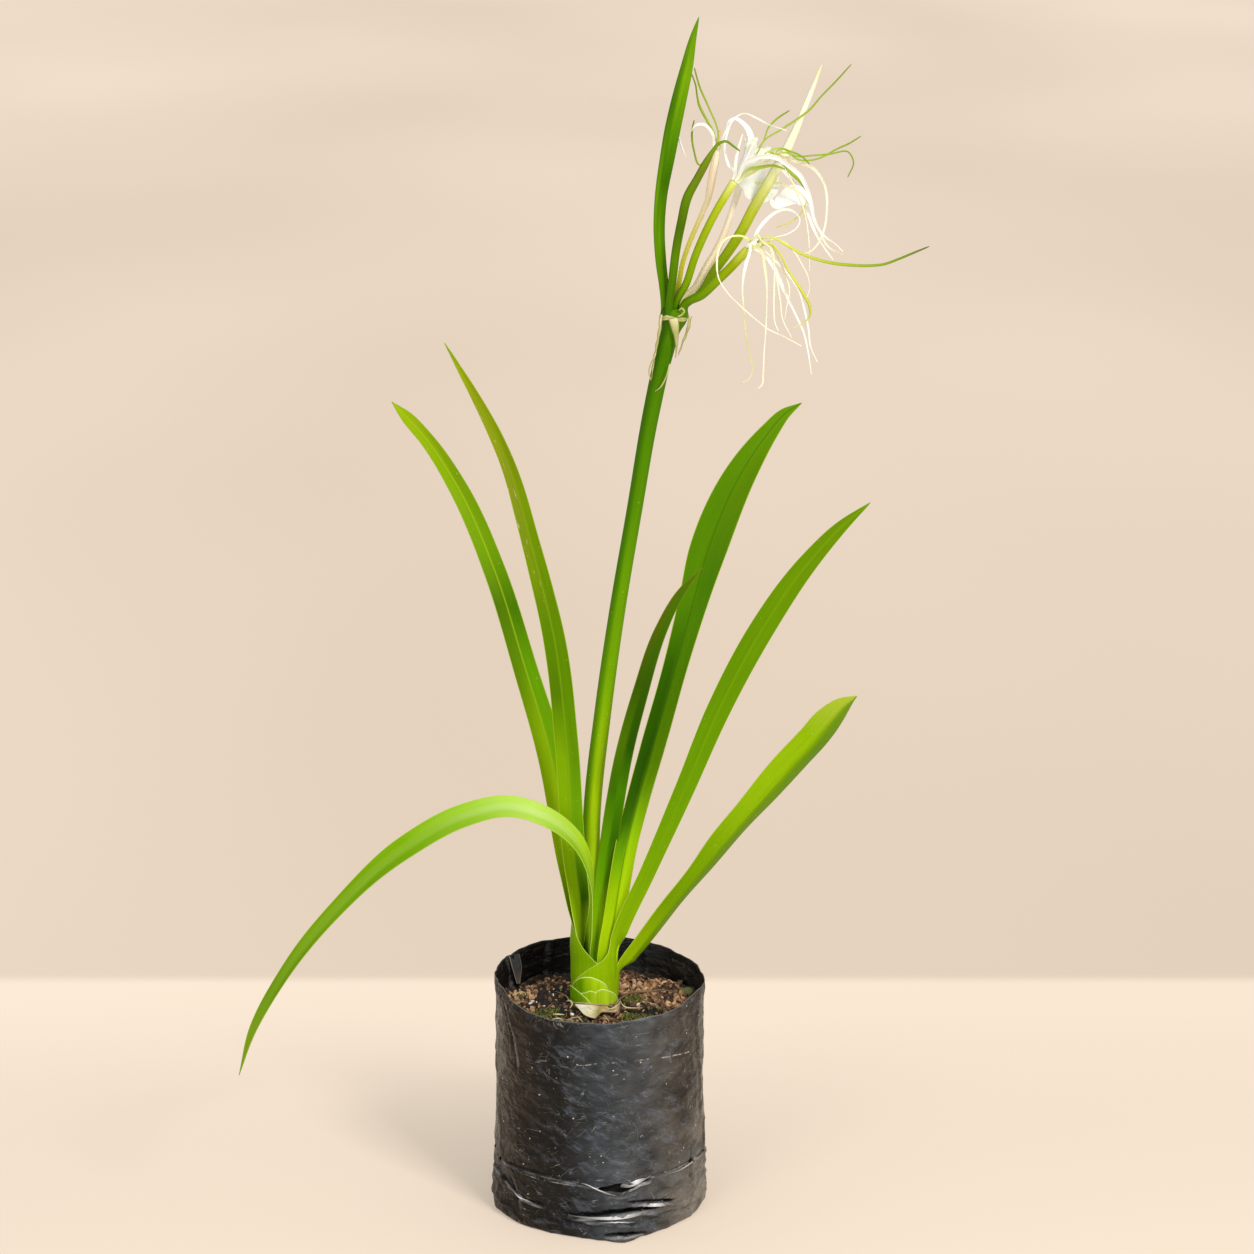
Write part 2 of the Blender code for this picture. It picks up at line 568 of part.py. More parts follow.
# Tepals: the angle of the foot around the mouth, then rows of x, y, z, width and turn.
TEPALS = {
    "left_flower_tepal": dict(angle=180, colour=PETAL_WHITE, rows=[
        (85.0, 40.0, 836.0, 3.0, 0), (78.0, 38.0, 843.0, 3.0, 20), (72.0, 36.0, 842.0, 2.4, 30),
        (69.0, 35.0, 838.0, 1.0, 30)]),
    "upper_flower_tepal_1": dict(angle=100, colour=PETAL_WHITE, rows=[
        (103.0, 15.0, 822.0, 4.5, 0), (109.0, 19.0, 838.0, 5.0, 10), (110.0, 18.0, 845.0, 4.5, 30),
        (105.0, 15.0, 850.5, 3.6, 40), (99.0, 13.0, 851.0, 2.6, 40), (95.0, 11.0, 845.0, 1.8, 40),
        (93.0, 10.0, 836.0, 0.9, 40)]),
    "upper_flower_tepal_2": dict(angle=170, colour=PETAL_WHITE, rows=[
        (96.0, 0.0, 818.0, 2.6, 0), (93.0, -1.0, 831.0, 2.2, 0), (95.0, -2.0, 842.0, 2.0, 10),
        (98.0, -3.0, 850.0, 2.0, 20), (106.0, -4.0, 856.0, 2.0, 30), (116.0, -6.0, 853.0, 1.8, 30),
        (126.0, -7.0, 848.0, 1.6, 30), (138.0, -8.0, 844.0, 0.9, 30)]),
    "upper_flower_tepal_3": dict(angle=222, colour=PETAL_WHITE, rows=[
        (101.0, -4.0, 819.0, 3.0, 0), (102.5, -6.5, 829.0, 2.6, 0), (106.0, -9.0, 842.0, 0.9, 0)]),
    "upper_flower_tepal_4": dict(angle=270, colour=PETAL_WHITE, rows=[
        (108.0, -9.0, 820.0, 4.8, 10), (118.0, -17.0, 826.0, 5.6, 24), (131.0, -22.0, 826.0, 6.0, 30),
        (140.0, -24.0, 820.0, 5.6, 30), (148.0, -25.0, 813.0, 5.0, 28), (153.0, -26.0, 803.0, 4.4, 25),
        (156.0, -26.0, 792.0, 3.8, 22), (159.0, -26.0, 779.0, 3.0, 20), (165.0, -25.0, 770.0, 2.2, 18),
        (174.0, -24.0, 763.0, 1.6, 16), (180.0, -23.0, 757.0, 0.9, 16)]),
    "upper_flower_tepal_5": dict(angle=40, colour=FILAMENT_CREAM, rows=[
        (114.0, 14.0, 810.0, 3.4, 10), (130.0, 17.0, 821.5, 4.0, 20), (148.0, 15.0, 818.0, 4.0, 20),
        (160.0, 12.0, 813.0, 3.4, 16), (166.0, 10.0, 805.0, 2.8, 14), (169.0, 8.0, 794.0, 2.4, 12),
        (169.0, 6.0, 782.0, 2.2, 10), (167.0, 4.0, 769.0, 2.0, 10), (163.0, 2.0, 760.0, 1.8, 10),
        (156.0, 1.0, 753.0, 1.4, 10), (150.0, 0.0, 752.0, 0.9, 10)]),
    "upper_flower_tepal_6": dict(angle=318, colour=FILAMENT_GREEN, rows=[
        (110.0, -4.0, 814.5, 4.0, 10), (119.0, -9.0, 817.5, 4.4, 20), (129.0, -12.0, 819.0, 3.6, 24),
        (137.0, -14.0, 816.5, 1.2, 24)]),
    "back_flower_tepal_1": dict(angle=60, colour=PETAL_WHITE, rows=[
        (118.0, 58.0, 806.0, 4.0, 10), (134.0, 62.0, 809.0, 4.4, 20), (147.0, 60.0, 797.0, 4.4, 20),
        (156.0, 56.0, 778.0, 3.6, 16), (162.0, 52.0, 763.0, 2.8, 14), (168.0, 48.0, 752.0, 2.0, 12),
        (177.0, 45.0, 740.0, 0.9, 12)]),
    "back_flower_tepal_2": dict(angle=0, colour=FILAMENT_CREAM, rows=[
        (116.0, 40.0, 799.0, 3.2, 10), (132.0, 34.0, 800.0, 3.6, 20), (150.0, 30.0, 793.0, 3.0, 20),
        (158.0, 29.0, 782.0, 2.6, 16), (164.0, 28.0, 767.0, 2.2, 14), (172.0, 28.0, 753.0, 1.6, 12),
        (183.0, 28.0, 747.0, 0.9, 12)]),
    "lower_flower_tepal_1": dict(angle=215, colour=PETAL_WHITE, rows=[
        (111.5, -28.0, 759.0, 3.2, 10), (108.5, -32.0, 750.0, 3.8, 0), (106.0, -32.0, 734.0, 2.0, 0),
        (107.0, -32.0, 717.0, 1.4, 0), (109.0, -32.0, 697.0, 1.4, 0), (112.0, -32.0, 681.0, 1.4, 0),
        (114.0, -32.0, 671.0, 1.3, 0), (111.0, -32.0, 664.0, 1.2, 0), (106.0, -32.0, 661.0, 0.9, 0)]),
    "lower_flower_tepal_2": dict(angle=265, colour=FILAMENT_CREAM, rows=[
        (119.0, -29.0, 760.0, 2.4, 0), (122.0, -29.0, 748.0, 3.0, 0), (124.0, -28.0, 732.0, 2.4, 0),
        (124.0, -27.0, 713.0, 1.6, 0), (123.5, -26.0, 698.0, 1.4, 0), (122.5, -25.0, 681.0, 1.4, 0),
        (122.0, -24.0, 667.0, 1.8, 0), (121.0, -24.0, 658.0, 1.8, 0), (118.0, -24.0, 655.0, 0.9, 0)]),
    "lower_flower_tepal_3": dict(angle=320, colour=PETAL_WHITE, rows=[
        (122.0, -20.0, 754.0, 3.6, 0), (128.0, -17.0, 747.0, 4.6, 0), (133.0, -15.0, 737.0, 5.0, 0),
        (136.5, -14.0, 729.0, 4.2, 0), (141.0, -14.0, 719.0, 2.8, 0), (146.0, -14.0, 709.0, 2.2, 0),
        (152.0, -15.0, 696.0, 2.0, 0), (155.0, -16.0, 684.0, 1.6, 0), (158.0, -18.0, 665.0, 0.9, 0)]),
    "lower_flower_tepal_4": dict(angle=5, colour=PETAL_WHITE, rows=[
        (121.0, -12.0, 757.0, 2.6, 0), (130.0, -8.0, 749.0, 2.6, 0), (141.0, -5.0, 737.0, 2.2, 0),
        (149.0, -4.0, 724.0, 1.8, 0), (153.0, -4.0, 711.0, 2.2, 0), (156.0, -5.0, 697.0, 2.0, 0),
        (158.0, -6.0, 683.0, 1.6, 0), (163.0, -7.0, 672.0, 0.9, 0)]),
    "lower_flower_tepal_5": dict(angle=80, colour=PETAL_WHITE, rows=[
        (116.0, -13.0, 768.0, 3.6, 0), (123.0, -9.0, 778.0, 4.0, 10), (132.0, -6.0, 784.5, 4.0, 20),
        (139.0, -5.0, 786.0, 3.4, 30), (145.0, -6.0, 784.0, 2.6, 30), (148.5, -8.0, 779.0, 1.8, 20),
        (147.0, -10.0, 774.0, 1.4, 10), (141.0, -12.0, 769.5, 1.2, 10), (130.0, -14.0, 766.5, 0.9, 10)]),
    "lower_flower_tepal_6": dict(angle=150, colour=FILAMENT_CREAM, rows=[
        (108.0, -24.0, 768.0, 2.6, 0), (100.0, -30.0, 770.0, 2.4, 10), (93.0, -34.0, 768.0, 2.2, 10),
        (88.5, -36.0, 761.0, 2.2, 0), (87.0, -37.0, 751.0, 2.2, 0), (88.0, -37.0, 741.0, 1.6, 0),
        (96.0, -37.0, 728.0, 1.2, 0), (106.0, -36.5, 718.0, 1.2, 0), (115.0, -36.0, 710.0, 1.2, 0),
        (125.0, -35.0, 702.0, 1.2, 0), (135.0, -34.0, 697.0, 1.2, 0), (150.0, -33.0, 689.0, 0.9, 0)]),
}

# Stamens and styles: the angle of the foot on the cup's rim, then rows of x, y, z and radius.
# A style has no angle: it rises from the bottom of the cup.
FILAMENTS = {
    "left_flower_stamen_1": dict(angle=250, colour=FILAMENT_GREEN, rows=[
        (89.0, 38.0, 838.0, 0.8), (82.0, 34.0, 856.0, 0.9), (75.0, 29.5, 872.0, 0.9),
        (71.0, 26.0, 886.0, 0.7)]),
    "left_flower_stamen_2": dict(angle=150, colour=FILAMENT_GREEN, rows=[
        (86.5, 46.0, 835.0, 0.8), (81.0, 46.0, 845.0, 1.2), (75.0, 45.0, 857.0, 1.2),
        (73.5, 44.0, 864.0, 0.9), (72.5, 42.0, 871.0, 0.8), (69.0, 40.0, 881.0, 0.6)]),
    "left_flower_stamen_3": dict(angle=45, colour=FILAMENT_GREEN, rows=[
        (88.0, 50.0, 826.0, 0.7), (82.0, 52.0, 815.0, 0.7), (76.0, 52.0, 811.0, 0.9),
        (71.5, 51.0, 822.0, 0.9), (70.0, 50.0, 836.0, 0.9), (71.5, 49.0, 845.0, 0.6)]),
    "upper_flower_stamen_1": dict(angle=90, colour=FILAMENT_GREEN, rows=[
        (126.0, 14.0, 844.0, 0.8), (132.0, 15.0, 850.0, 0.9), (141.0, 15.0, 856.0, 0.6)]),
    "upper_flower_stamen_2": dict(angle=330, colour=FILAMENT_GREEN, rows=[
        (133.0, -4.0, 830.0, 0.8), (142.0, -8.0, 828.5, 0.9), (150.0, -12.0, 825.0, 0.8),
        (155.0, -14.0, 820.0, 0.5)]),
    "upper_flower_stamen_3": dict(angle=10, colour=FILAMENT_GREEN, rows=[
        (136.0, 4.0, 826.5, 0.8), (147.0, 1.0, 824.0, 0.8), (157.0, -2.0, 825.0, 0.8),
        (169.0, -6.0, 826.5, 0.8), (184.0, -10.0, 828.0, 0.7), (187.0, -11.0, 822.0, 0.7),
        (183.0, -11.0, 810.0, 0.5)]),
    "upper_flower_stamen_4": dict(angle=50, colour=FILAMENT_GREEN, rows=[
        (137.0, 12.0, 828.0, 0.8), (148.0, 10.0, 820.5, 0.8), (158.0, 11.0, 820.0, 0.8),
        (166.0, 14.0, 822.0, 0.8), (176.0, 18.0, 827.0, 0.8), (186.0, 22.0, 831.0, 0.8),
        (195.0, 26.0, 836.0, 0.5)]),
    "upper_flower_stamen_5": dict(angle=290, colour=FILAMENT_GREEN, rows=[
        (129.0, -6.0, 827.0, 0.9), (134.5, -8.0, 822.0, 1.3), (141.0, -13.0, 814.0, 1.4),
        (148.0, -17.0, 808.0, 1.4), (153.0, -19.0, 801.0, 1.2), (156.0, -19.0, 790.0, 0.8)]),
    "upper_flower_stamen_6": dict(angle=30, colour=FILAMENT_CREAM, rows=[
        (136.0, 9.5, 822.0, 0.7), (142.0, 9.0, 807.0, 0.7), (147.0, 10.0, 796.0, 0.7),
        (152.0, 11.0, 784.0, 0.7), (154.0, 12.0, 776.0, 0.6), (156.0, 12.0, 763.0, 0.6),
        (157.0, 12.0, 737.0, 0.45)]),
    "upper_flower_style": dict(angle=None, colour=FILAMENT_GREEN, rows=[
        (121.0, 2.0, 834.0, 0.7), (135.0, 8.0, 843.0, 0.9), (147.0, 14.0, 850.0, 0.9),
        (156.0, 19.0, 856.0, 0.9), (164.0, 21.0, 865.0, 0.8), (176.0, 24.0, 877.0, 0.8),
        (187.0, 26.0, 889.0, 0.5)]),
    "lower_flower_stamen_1": dict(angle=200, colour=FILAMENT_CREAM, rows=[
        (119.5, -26.0, 766.0, 0.7), (127.0, -33.0, 760.0, 0.7), (129.0, -34.0, 747.0, 0.8),
        (129.0, -34.0, 732.0, 0.8), (129.0, -33.0, 716.0, 0.7), (130.0, -32.0, 706.0, 0.6),
        (133.0, -32.0, 699.0, 0.4)]),
    "lower_flower_stamen_2": dict(angle=284, colour=FILAMENT_CREAM, rows=[
        (124.0, -27.0, 763.0, 0.7), (128.0, -25.0, 752.0, 0.7), (131.5, -24.0, 736.0, 0.7),
        (134.0, -23.0, 721.0, 0.7), (136.0, -22.0, 707.0, 0.6), (143.0, -21.0, 693.0, 0.4)]),
    "lower_flower_stamen_3": dict(angle=318, colour=WITHERED, rows=[
        (126.0, -24.5, 763.5, 0.8), (134.0, -23.0, 755.0, 0.8), (140.0, -22.0, 743.0, 0.9),
        (146.0, -21.0, 734.0, 1.1), (151.5, -20.0, 725.0, 1.3), (156.0, -20.0, 716.0, 1.1),
        (156.0, -21.0, 709.0, 0.8), (152.0, -24.0, 705.0, 0.6), (143.0, -27.0, 701.0, 0.4)]),
    "lower_flower_stamen_4": dict(angle=20, colour=FILAMENT_CREAM, rows=[
        (128.0, -20.0, 766.0, 0.8), (136.0, -17.0, 763.5, 0.9), (144.0, -13.0, 756.0, 0.8),
        (149.5, -10.0, 747.0, 0.7), (155.0, -9.0, 736.0, 0.6), (156.0, -9.0, 727.0, 0.5),
        (153.0, -9.0, 718.0, 0.4)]),
    "lower_flower_stamen_5": dict(angle=350, colour=FILAMENT_CREAM, rows=[
        (127.0, -20.0, 762.0, 0.7), (133.0, -19.0, 750.5, 0.7), (138.0, -18.0, 739.0, 0.7),
        (141.0, -18.5, 728.0, 0.6), (139.0, -19.0, 716.0, 0.5), (137.5, -18.5, 706.0, 0.4)]),
    "lower_flower_style": dict(angle=None, colour=FILAMENT_GREEN, rows=[
        (121.0, -24.0, 767.5, 0.7), (128.0, -26.0, 768.0, 0.8), (139.0, -29.0, 762.5, 1.0),
        (148.0, -31.0, 757.5, 1.1), (159.0, -33.0, 753.5, 1.2), (170.0, -35.0, 751.0, 1.2),
        (186.0, -37.0, 749.5, 1.2), (197.0, -39.0, 749.5, 1.1), (209.0, -41.0, 751.0, 1.0),
        (219.0, -43.0, 755.0, 0.9), (230.0, -45.0, 760.0, 0.8), (241.0, -47.0, 765.0, 0.5)]),
}


def flower_of(name):
    return name.split("_flower")[0] + "_flower"


def add_tepals(parts):
    for name, tepal in TEPALS.items():
        flower = flower_of(name)
        foot = ring_point(flower, 2.5, tepal["angle"], 1.0)
        knee = ring_point(flower, 3.4, tepal["angle"], 3.5)
        turn = tepal["rows"][0][4]
        start = [(*foot, 1.6, turn), (*knee, 2.0, turn)]
        add_blade(name, start + tepal["rows"], parts, tepal["colour"], 0.55, thickness=0.7,
                  fold=(0.25, 0.25), columns=3, stations=12)


def filament_start(name, angle):
    """The two lowest rows of a stamen on its cup's rim, or of a style inside the cup."""
    flower = flower_of(name)
    if flower not in CUPS:
        return [(*ring_point(flower, 1.6, angle, 0.7), 0.5), (*ring_point(flower, 2.4, angle, 3.5), 0.6)]
    length, foot, rim = CUPS[flower]
    if angle is None:
        return [(*ring_point(flower, 0.0, 0.0, 1.7), 0.35), (*ring_point(flower, 0.0, 0.0, 5.0), 0.4),
                (*ring_point(flower, 0.0, 0.0, length), 0.7)]
    lip = rim + 0.1
    return [(*ring_point(flower, lip, angle, length + 1.3), 0.45),
            (*ring_point(flower, lip + 0.6, angle, length + 3.5), 0.6)]


def add_filaments(parts):
    for name, filament in FILAMENTS.items():
        rows = filament_start(name, filament["angle"]) + filament["rows"]
        add_stalk(name, rows, parts, filament["colour"], stations=12, sides=1)


# ---------------------------------------------------------------- dry things on the soil

def add_litter(parts):
    add_blade("dry_sheath", [
        (-22.0, -22.5, 170.0, 3.0, 10), (-14.0, -25.0, 171.0, 8.0, 45), (-3.0, -26.5, 172.0, 11.0, 55),
        (8.0, -25.5, 172.0, 8.0, 50), (18.0, -23.0, 170.5, 2.0, 30)],
        parts, PAPER, 0.85, thickness=0.8, fold=(0.25, 0.25), columns=5, stations=12)
    add_stalk("dry_runner", [
        (21.0, -17.0, 168.0, 0.8), (28.0, -10.0, 170.0, 0.8), (38.0, 2.0, 170.5, 0.8),
        (50.0, 10.0, 168.5, 0.7), (60.0, 12.0, 166.0, 0.6)],
        parts, WITHERED, 0.8, stations=12, sides=1)


def main():
    clear_scene()
    parts = new_collection("potted_spider_lily")
    cutters = new_collection("cutters")
    add_bag(parts, cutters)
    add_soil(parts, cutters)
    add_rings("bulb", bulb_rings(), 24, parts, NECK_GREEN, 0.5)
    add_leaves(parts)
    add_scape(parts)
    add_spathe(parts)
    add_umbel(parts)
    for flower in CUPS:
        add_cup(flower, parts)
    add_tepals(parts)
    add_filaments(parts)
    add_litter(parts)


main()
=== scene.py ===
"""Looks of the potted spider lily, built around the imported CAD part.

Metres, +Z up, in the frame of the CAD part.  Tables of points are in millimetres, for reading, and
pass through MM.  Most tables are written as text: spaces part the numbers and commas part the rows.
The soft bag is a modelled shell with folds; no simulation is run.
"""
import math

import bmesh
import bpy
import numpy as np
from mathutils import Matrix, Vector, noise


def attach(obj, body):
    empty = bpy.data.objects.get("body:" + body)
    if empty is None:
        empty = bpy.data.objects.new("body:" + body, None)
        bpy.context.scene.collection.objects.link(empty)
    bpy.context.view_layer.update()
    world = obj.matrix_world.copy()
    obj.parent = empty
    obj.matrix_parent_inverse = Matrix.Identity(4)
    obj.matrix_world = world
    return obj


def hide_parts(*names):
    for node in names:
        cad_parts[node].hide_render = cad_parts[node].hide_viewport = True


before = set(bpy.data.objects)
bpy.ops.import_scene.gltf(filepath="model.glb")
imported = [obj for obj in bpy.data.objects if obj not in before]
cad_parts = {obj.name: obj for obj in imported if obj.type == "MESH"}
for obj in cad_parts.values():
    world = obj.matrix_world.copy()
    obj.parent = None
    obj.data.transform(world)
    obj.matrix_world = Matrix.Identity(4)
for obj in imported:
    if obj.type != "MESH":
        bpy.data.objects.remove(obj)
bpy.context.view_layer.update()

MM = 0.001
RNG = np.random.default_rng(41)


def numbers(text):
    """The rows of a table that is written as text."""
    return [tuple(map(float, row.split())) for row in text.split(",")]


# ---------------------------------------------------------------- materials

def linear(channel):
    value = channel / 255.0
    if value <= 0.04045:
        return value / 12.92
    return ((value + 0.055) / 1.055) ** 2.4


def colour(rgb):
    return (*[linear(c) for c in rgb], 1.0)


DARKEST = 0.12  # the least brightness that brighten leaves


class Finish:
    """The nodes of one material; each method returns an output socket."""

    def __init__(self, name, roughness):
        self.material = bpy.data.materials.new(name)
        self.material.use_nodes = True
        self.tree = self.material.node_tree
        self.shader = self.tree.nodes["Principled BSDF"]
        self.shader.inputs["Roughness"].default_value = roughness

    def node(self, kind, inputs=None, **settings):
        made = self.tree.nodes.new("ShaderNode" + kind)
        for key, value in settings.items():
            setattr(made, key, value)
        for key, value in (inputs or {}).items():
            self.feed(made.inputs[key], value)
        return made

    def feed(self, socket, value):
        if isinstance(value, bpy.types.NodeSocket):
            self.tree.links.new(value, socket)
        else:
            socket.default_value = value

    def layer(self, name):
        return self.node("Attribute", attribute_name=name).outputs["Fac"]

    def math(self, operation, *values):
        return self.node("Math", dict(enumerate(values)), operation=operation).outputs[0]

    def times(self, first, *others):
        for other in others:
            first = self.math("MULTIPLY", first, other)
        return first

    def apart(self, value, middle=0.5):
        """How far a value is from a middle one."""
        return self.math("ABSOLUTE", self.math("SUBTRACT", value, middle))

    def place(self, across=1.0, up=None, deep=None, slant=0.0):
        """Millimetres in the object's own space, turned by slant and stretched along each axis."""
        spot = self.node("TexCoord").outputs["Object"]
        if slant:
            spot = self.node("Mapping", {"Vector": spot, "Rotation": (0.0, slant, 0.0)}).outputs[0]
        stretch = across, across if deep is None else deep, across if up is None else up
        size = [s / MM for s in stretch]
        return self.node("Mapping", {"Vector": spot, "Scale": size}).outputs[0]

    def strand(self, across, along):
        """A place on a leaf or stalk, measured in cells of across by along millimetres."""
        sizes = ("wide", across), ("deep", across), ("run", along)
        parts = [self.times(self.layer(name), 1.0 / size) for name, size in sizes]
        return self.node("CombineXYZ", dict(enumerate(parts))).outputs[0]

    def grain(self, vector, detail=3.0, rough=0.55, scale=1.0):
        inputs = {"Vector": vector, "Scale": scale, "Detail": detail, "Roughness": rough}
        return self.node("TexNoise", inputs).outputs["Fac"]

    def cells(self, vector):
        return self.node("TexVoronoi", {"Vector": vector, "Scale": 1.0}).outputs["Distance"]

    def step(self, value, low, high):
        """0 below low and 1 above high, or the other way round if high is below low."""
        inputs = {"Value": value, "From Min": min(low, high), "From Max": max(low, high)}
        if high < low:
            inputs.update({"To Min": 1.0, "To Max": 0.0})
        return self.node("MapRange", inputs, interpolation_type="SMOOTHSTEP").outputs[0]

    def ramp(self, value, stops):
        """A ramp through rows of place, red, green and blue, the colours from 0 to 255."""
        made = self.node("ValToRGB", {0: value})
        elements = made.color_ramp.elements
        stops = numbers(stops)
        while len(elements) < len(stops):
            elements.new(0.5)
        for element, (place, *rgb) in zip(elements, stops):
            element.position = place
            element.color = colour(rgb)
        return made.outputs[0]

    def mix(self, share, first, second):
        made = self.node("Mix", data_type="RGBA")
        for index, value in ((0, share), (6, first), (7, second)):
            if isinstance(value, tuple):
                value = colour(value)
            self.feed(made.inputs[index], value)
        return made.outputs[2]

    def tint(self, tone, other, *shares):
        """The tone turned toward another by the product of the shares."""
        return self.mix(self.times(*shares), tone, other)

    def brighten(self, tone, value, depth):
        """The colour with its brightness moved by depth as value goes from 0 to 1."""
        amount = self.math("MULTIPLY_ADD", value, depth, 1.0 - depth / 2)
        amount = self.math("MAXIMUM", amount, DARKEST)
        return self.node("HueSaturation", {"Color": tone, "Value": amount}).outputs[0]

    def bump(self, height, distance, under=None):
        """A normal from a height, on top of another normal; distance is in millimetres."""
        inputs = {"Height": height, "Distance": distance * MM, "Strength": 1.0}
        made = self.node("Bump", inputs)
        if under is not None:
            self.feed(made.inputs["Normal"], under)
        return made.outputs[0]

    def finish(self, tone, normal=None, roughness=None, **values):
        self.feed(self.shader.inputs["Base Color"], tone)
        if normal is not None:
            self.feed(self.shader.inputs["Normal"], normal)
        if roughness is not None:
            self.feed(self.shader.inputs["Roughness"], roughness)
        for key, value in values.items():
            self.shader.inputs[key.replace("_", " ")].default_value = value
        return self.material


# ---------------------------------------------------------------- meshes from grids

def add_piece(name, points, faces, layers, material, sharp=None):
    """A mesh in metres from points in millimetres, with a number per point in each layer.

    Edges that turn by more than sharp degrees are shaded as sharp.
    """
    mesh = bpy.data.meshes.new(name)
    mesh.from_pydata((np.asarray(points) * MM).tolist(), [], faces)
    for key, values in layers.items():
        made = mesh.attributes.new(key, "FLOAT", "POINT")
        made.data.foreach_set("value", np.asarray(values, dtype=np.float32))
    mesh.validate()
    mesh.shade_smooth()
    if sharp:
        mesh.set_sharp_from_angle(angle=math.radians(sharp))
    thing = bpy.data.objects.new(name, mesh)
    bpy.context.scene.collection.objects.link(thing)
    mesh.materials.append(material)
    return thing


def outward(points, faces):
    """The faces, turned over if they enclose a negative volume."""
    points = np.asarray(points)
    volume = 0.0
    for size in (3, 4):
        some = np.array([face for face in faces if len(face) == size])
        for k in range(2, size):
            if len(some):
                a, b, c = (points[some[:, j]] for j in (0, k - 1, k))
                volume += np.einsum("ij,ij->", a, np.cross(b, c))
    return faces if volume > 0 else [face[::-1] for face in faces]


def grid_faces(rows, columns, wrap=False, start=0):
    across = np.arange(columns if wrap else columns - 1)
    beside = (across + 1) % columns
    near = np.arange(rows - 1)[:, None] * columns + start
    far = near + columns
    return np.stack([near + across, near + beside, far + beside, far + across],
                    -1).reshape(-1, 4).tolist()


def strip_faces(first, second, wrap=False):
    """Quads between two equal lines of vertex numbers."""
    count = len(first) if wrap else len(first) - 1
    faces = []
    for k in range(count):
        j = (k + 1) % len(first)
        faces.append([first[k], first[j], second[j], second[k]])
    return faces


def closed_sheet(upper, lower, wrap=False):
    """Points and faces of the closed body between two grids (rows, columns, 3)."""
    rows, columns = upper.shape[:2]
    points = np.concatenate([upper.reshape(-1, 3), lower.reshape(-1, 3)])
    half = rows * columns
    number = np.arange(half).reshape(rows, columns)
    faces = grid_faces(rows, columns, wrap)
    faces += [face[::-1] for face in grid_faces(rows, columns, wrap, half)]
    sides = [(number[0], True, wrap), (number[-1], False, wrap)]
    if not wrap:
        sides += [(number[:, 0], False, False), (number[:, -1], True, False)]
    for line, back, around in sides:
        strip = strip_faces(line.tolist(), (line + half).tolist(), around)
        faces += [face[::-1] for face in strip] if back else strip
    return points, outward(points, faces)


def sheet_piece(name, middle, thickness, layers, material, wrap=False, facing=None):
    """A closed sheet of a given thickness about a middle grid; layers repeat on both skins."""
    if wrap:
        beside = (np.roll(middle, -1, axis=1) - np.roll(middle, 1, axis=1)) / 2
    else:
        beside = np.gradient(middle, axis=1)
    normal = np.cross(beside, np.gradient(middle, axis=0))
    normal /= np.linalg.norm(normal, axis=2, keepdims=True) + 1e-9
    if facing is not None and np.sum(normal * facing) < 0:
        normal = -normal
    half = normal * np.broadcast_to(thickness, middle.shape[:2])[:, :, None] * 0.5
    points, faces = closed_sheet(middle + half, middle - half, wrap)
    doubled = {key: np.concatenate([np.ravel(value)] * 2) for key, value in layers.items()}
    return add_piece(name, points, faces, doubled, material)


# ---------------------------------------------------------------- smooth lines

def sample_rows(rows, places):
    """A smooth curve through rows of numbers, at shares 0 to 1 of its length."""
    table = np.array(rows, dtype=float)
    steps = np.linalg.norm(np.diff(table[:, :3], axis=0), axis=1)
    along = np.concatenate([[0.0], np.cumsum(steps)])
    slopes = np.gradient(table, along, axis=0)
    place = np.asarray(places) * along[-1]
    k = np.clip(np.searchsorted(along, place, side="right") - 1, 0, len(along) - 2)
    span = (along[k + 1] - along[k])[:, None]
    t = ((place - along[k]) / span[:, 0])[:, None]
    return ((2 * t**3 - 3 * t**2 + 1) * table[k] + (t**3 - 2 * t**2 + t) * span * slopes[k]
            + (3 * t**2 - 2 * t**3) * table[k + 1] + (t**3 - t**2) * span * slopes[k + 1])


def directions(points):
    tangent = np.gradient(points, axis=0)
    return tangent / np.linalg.norm(tangent, axis=1, keepdims=True)


def lengths(points):
    steps = np.linalg.norm(np.diff(points, axis=0), axis=1)
    return np.concatenate([[0.0], np.cumsum(steps)])


def turns(count):
    """Directions in radians, evenly round a circle."""
    return np.linspace(0.0, 2 * math.pi, count, endpoint=False)


def upright_ring(radius, angle, height):
    """Points about the upright axis of the frame."""
    parts = radius * np.cos(angle), radius * np.sin(angle), height
    return np.stack(np.broadcast_arrays(*parts), axis=-1)


def smooth_step(value, low, high):
    t = np.clip((value - low) / (high - low), 0.0, 1.0)
    return t * t * (3 - 2 * t)


def blade_axes(tangent, turn):
    """Width and face directions along a blade: turn 0 faces the front, 90 the right if upright."""
    front = np.array([0.0, -1.0, 0.0])
    face = front - tangent * (tangent @ front)[:, None]
    face /= np.linalg.norm(face, axis=1, keepdims=True)
    side = np.cross(tangent, face)
    turn = np.radians(turn)[:, None]
    face = face * np.cos(turn) + side * np.sin(turn)
    return np.cross(tangent, face), face


def blade_layers(middle, u):
    """The numbers that leaf and petal finishes read, from a grid of middle points."""
    steps = np.linalg.norm(np.diff(middle, axis=1), axis=2)
    wide = np.concatenate([np.zeros((len(middle), 1)), np.cumsum(steps, axis=1)], axis=1)
    rib = wide[:, [middle.shape[1] // 2]]
    run = lengths(middle[:, middle.shape[1] // 2])
    flat = np.ones_like(wide)
    return {
        "across": flat * u, "along": flat * (run / run[-1])[:, None], "run": flat * run[:, None],
        "wide": wide - rib, "deep": flat * 0.0, "edge": np.minimum(wide, wide[:, [-1]] - wide),
    }


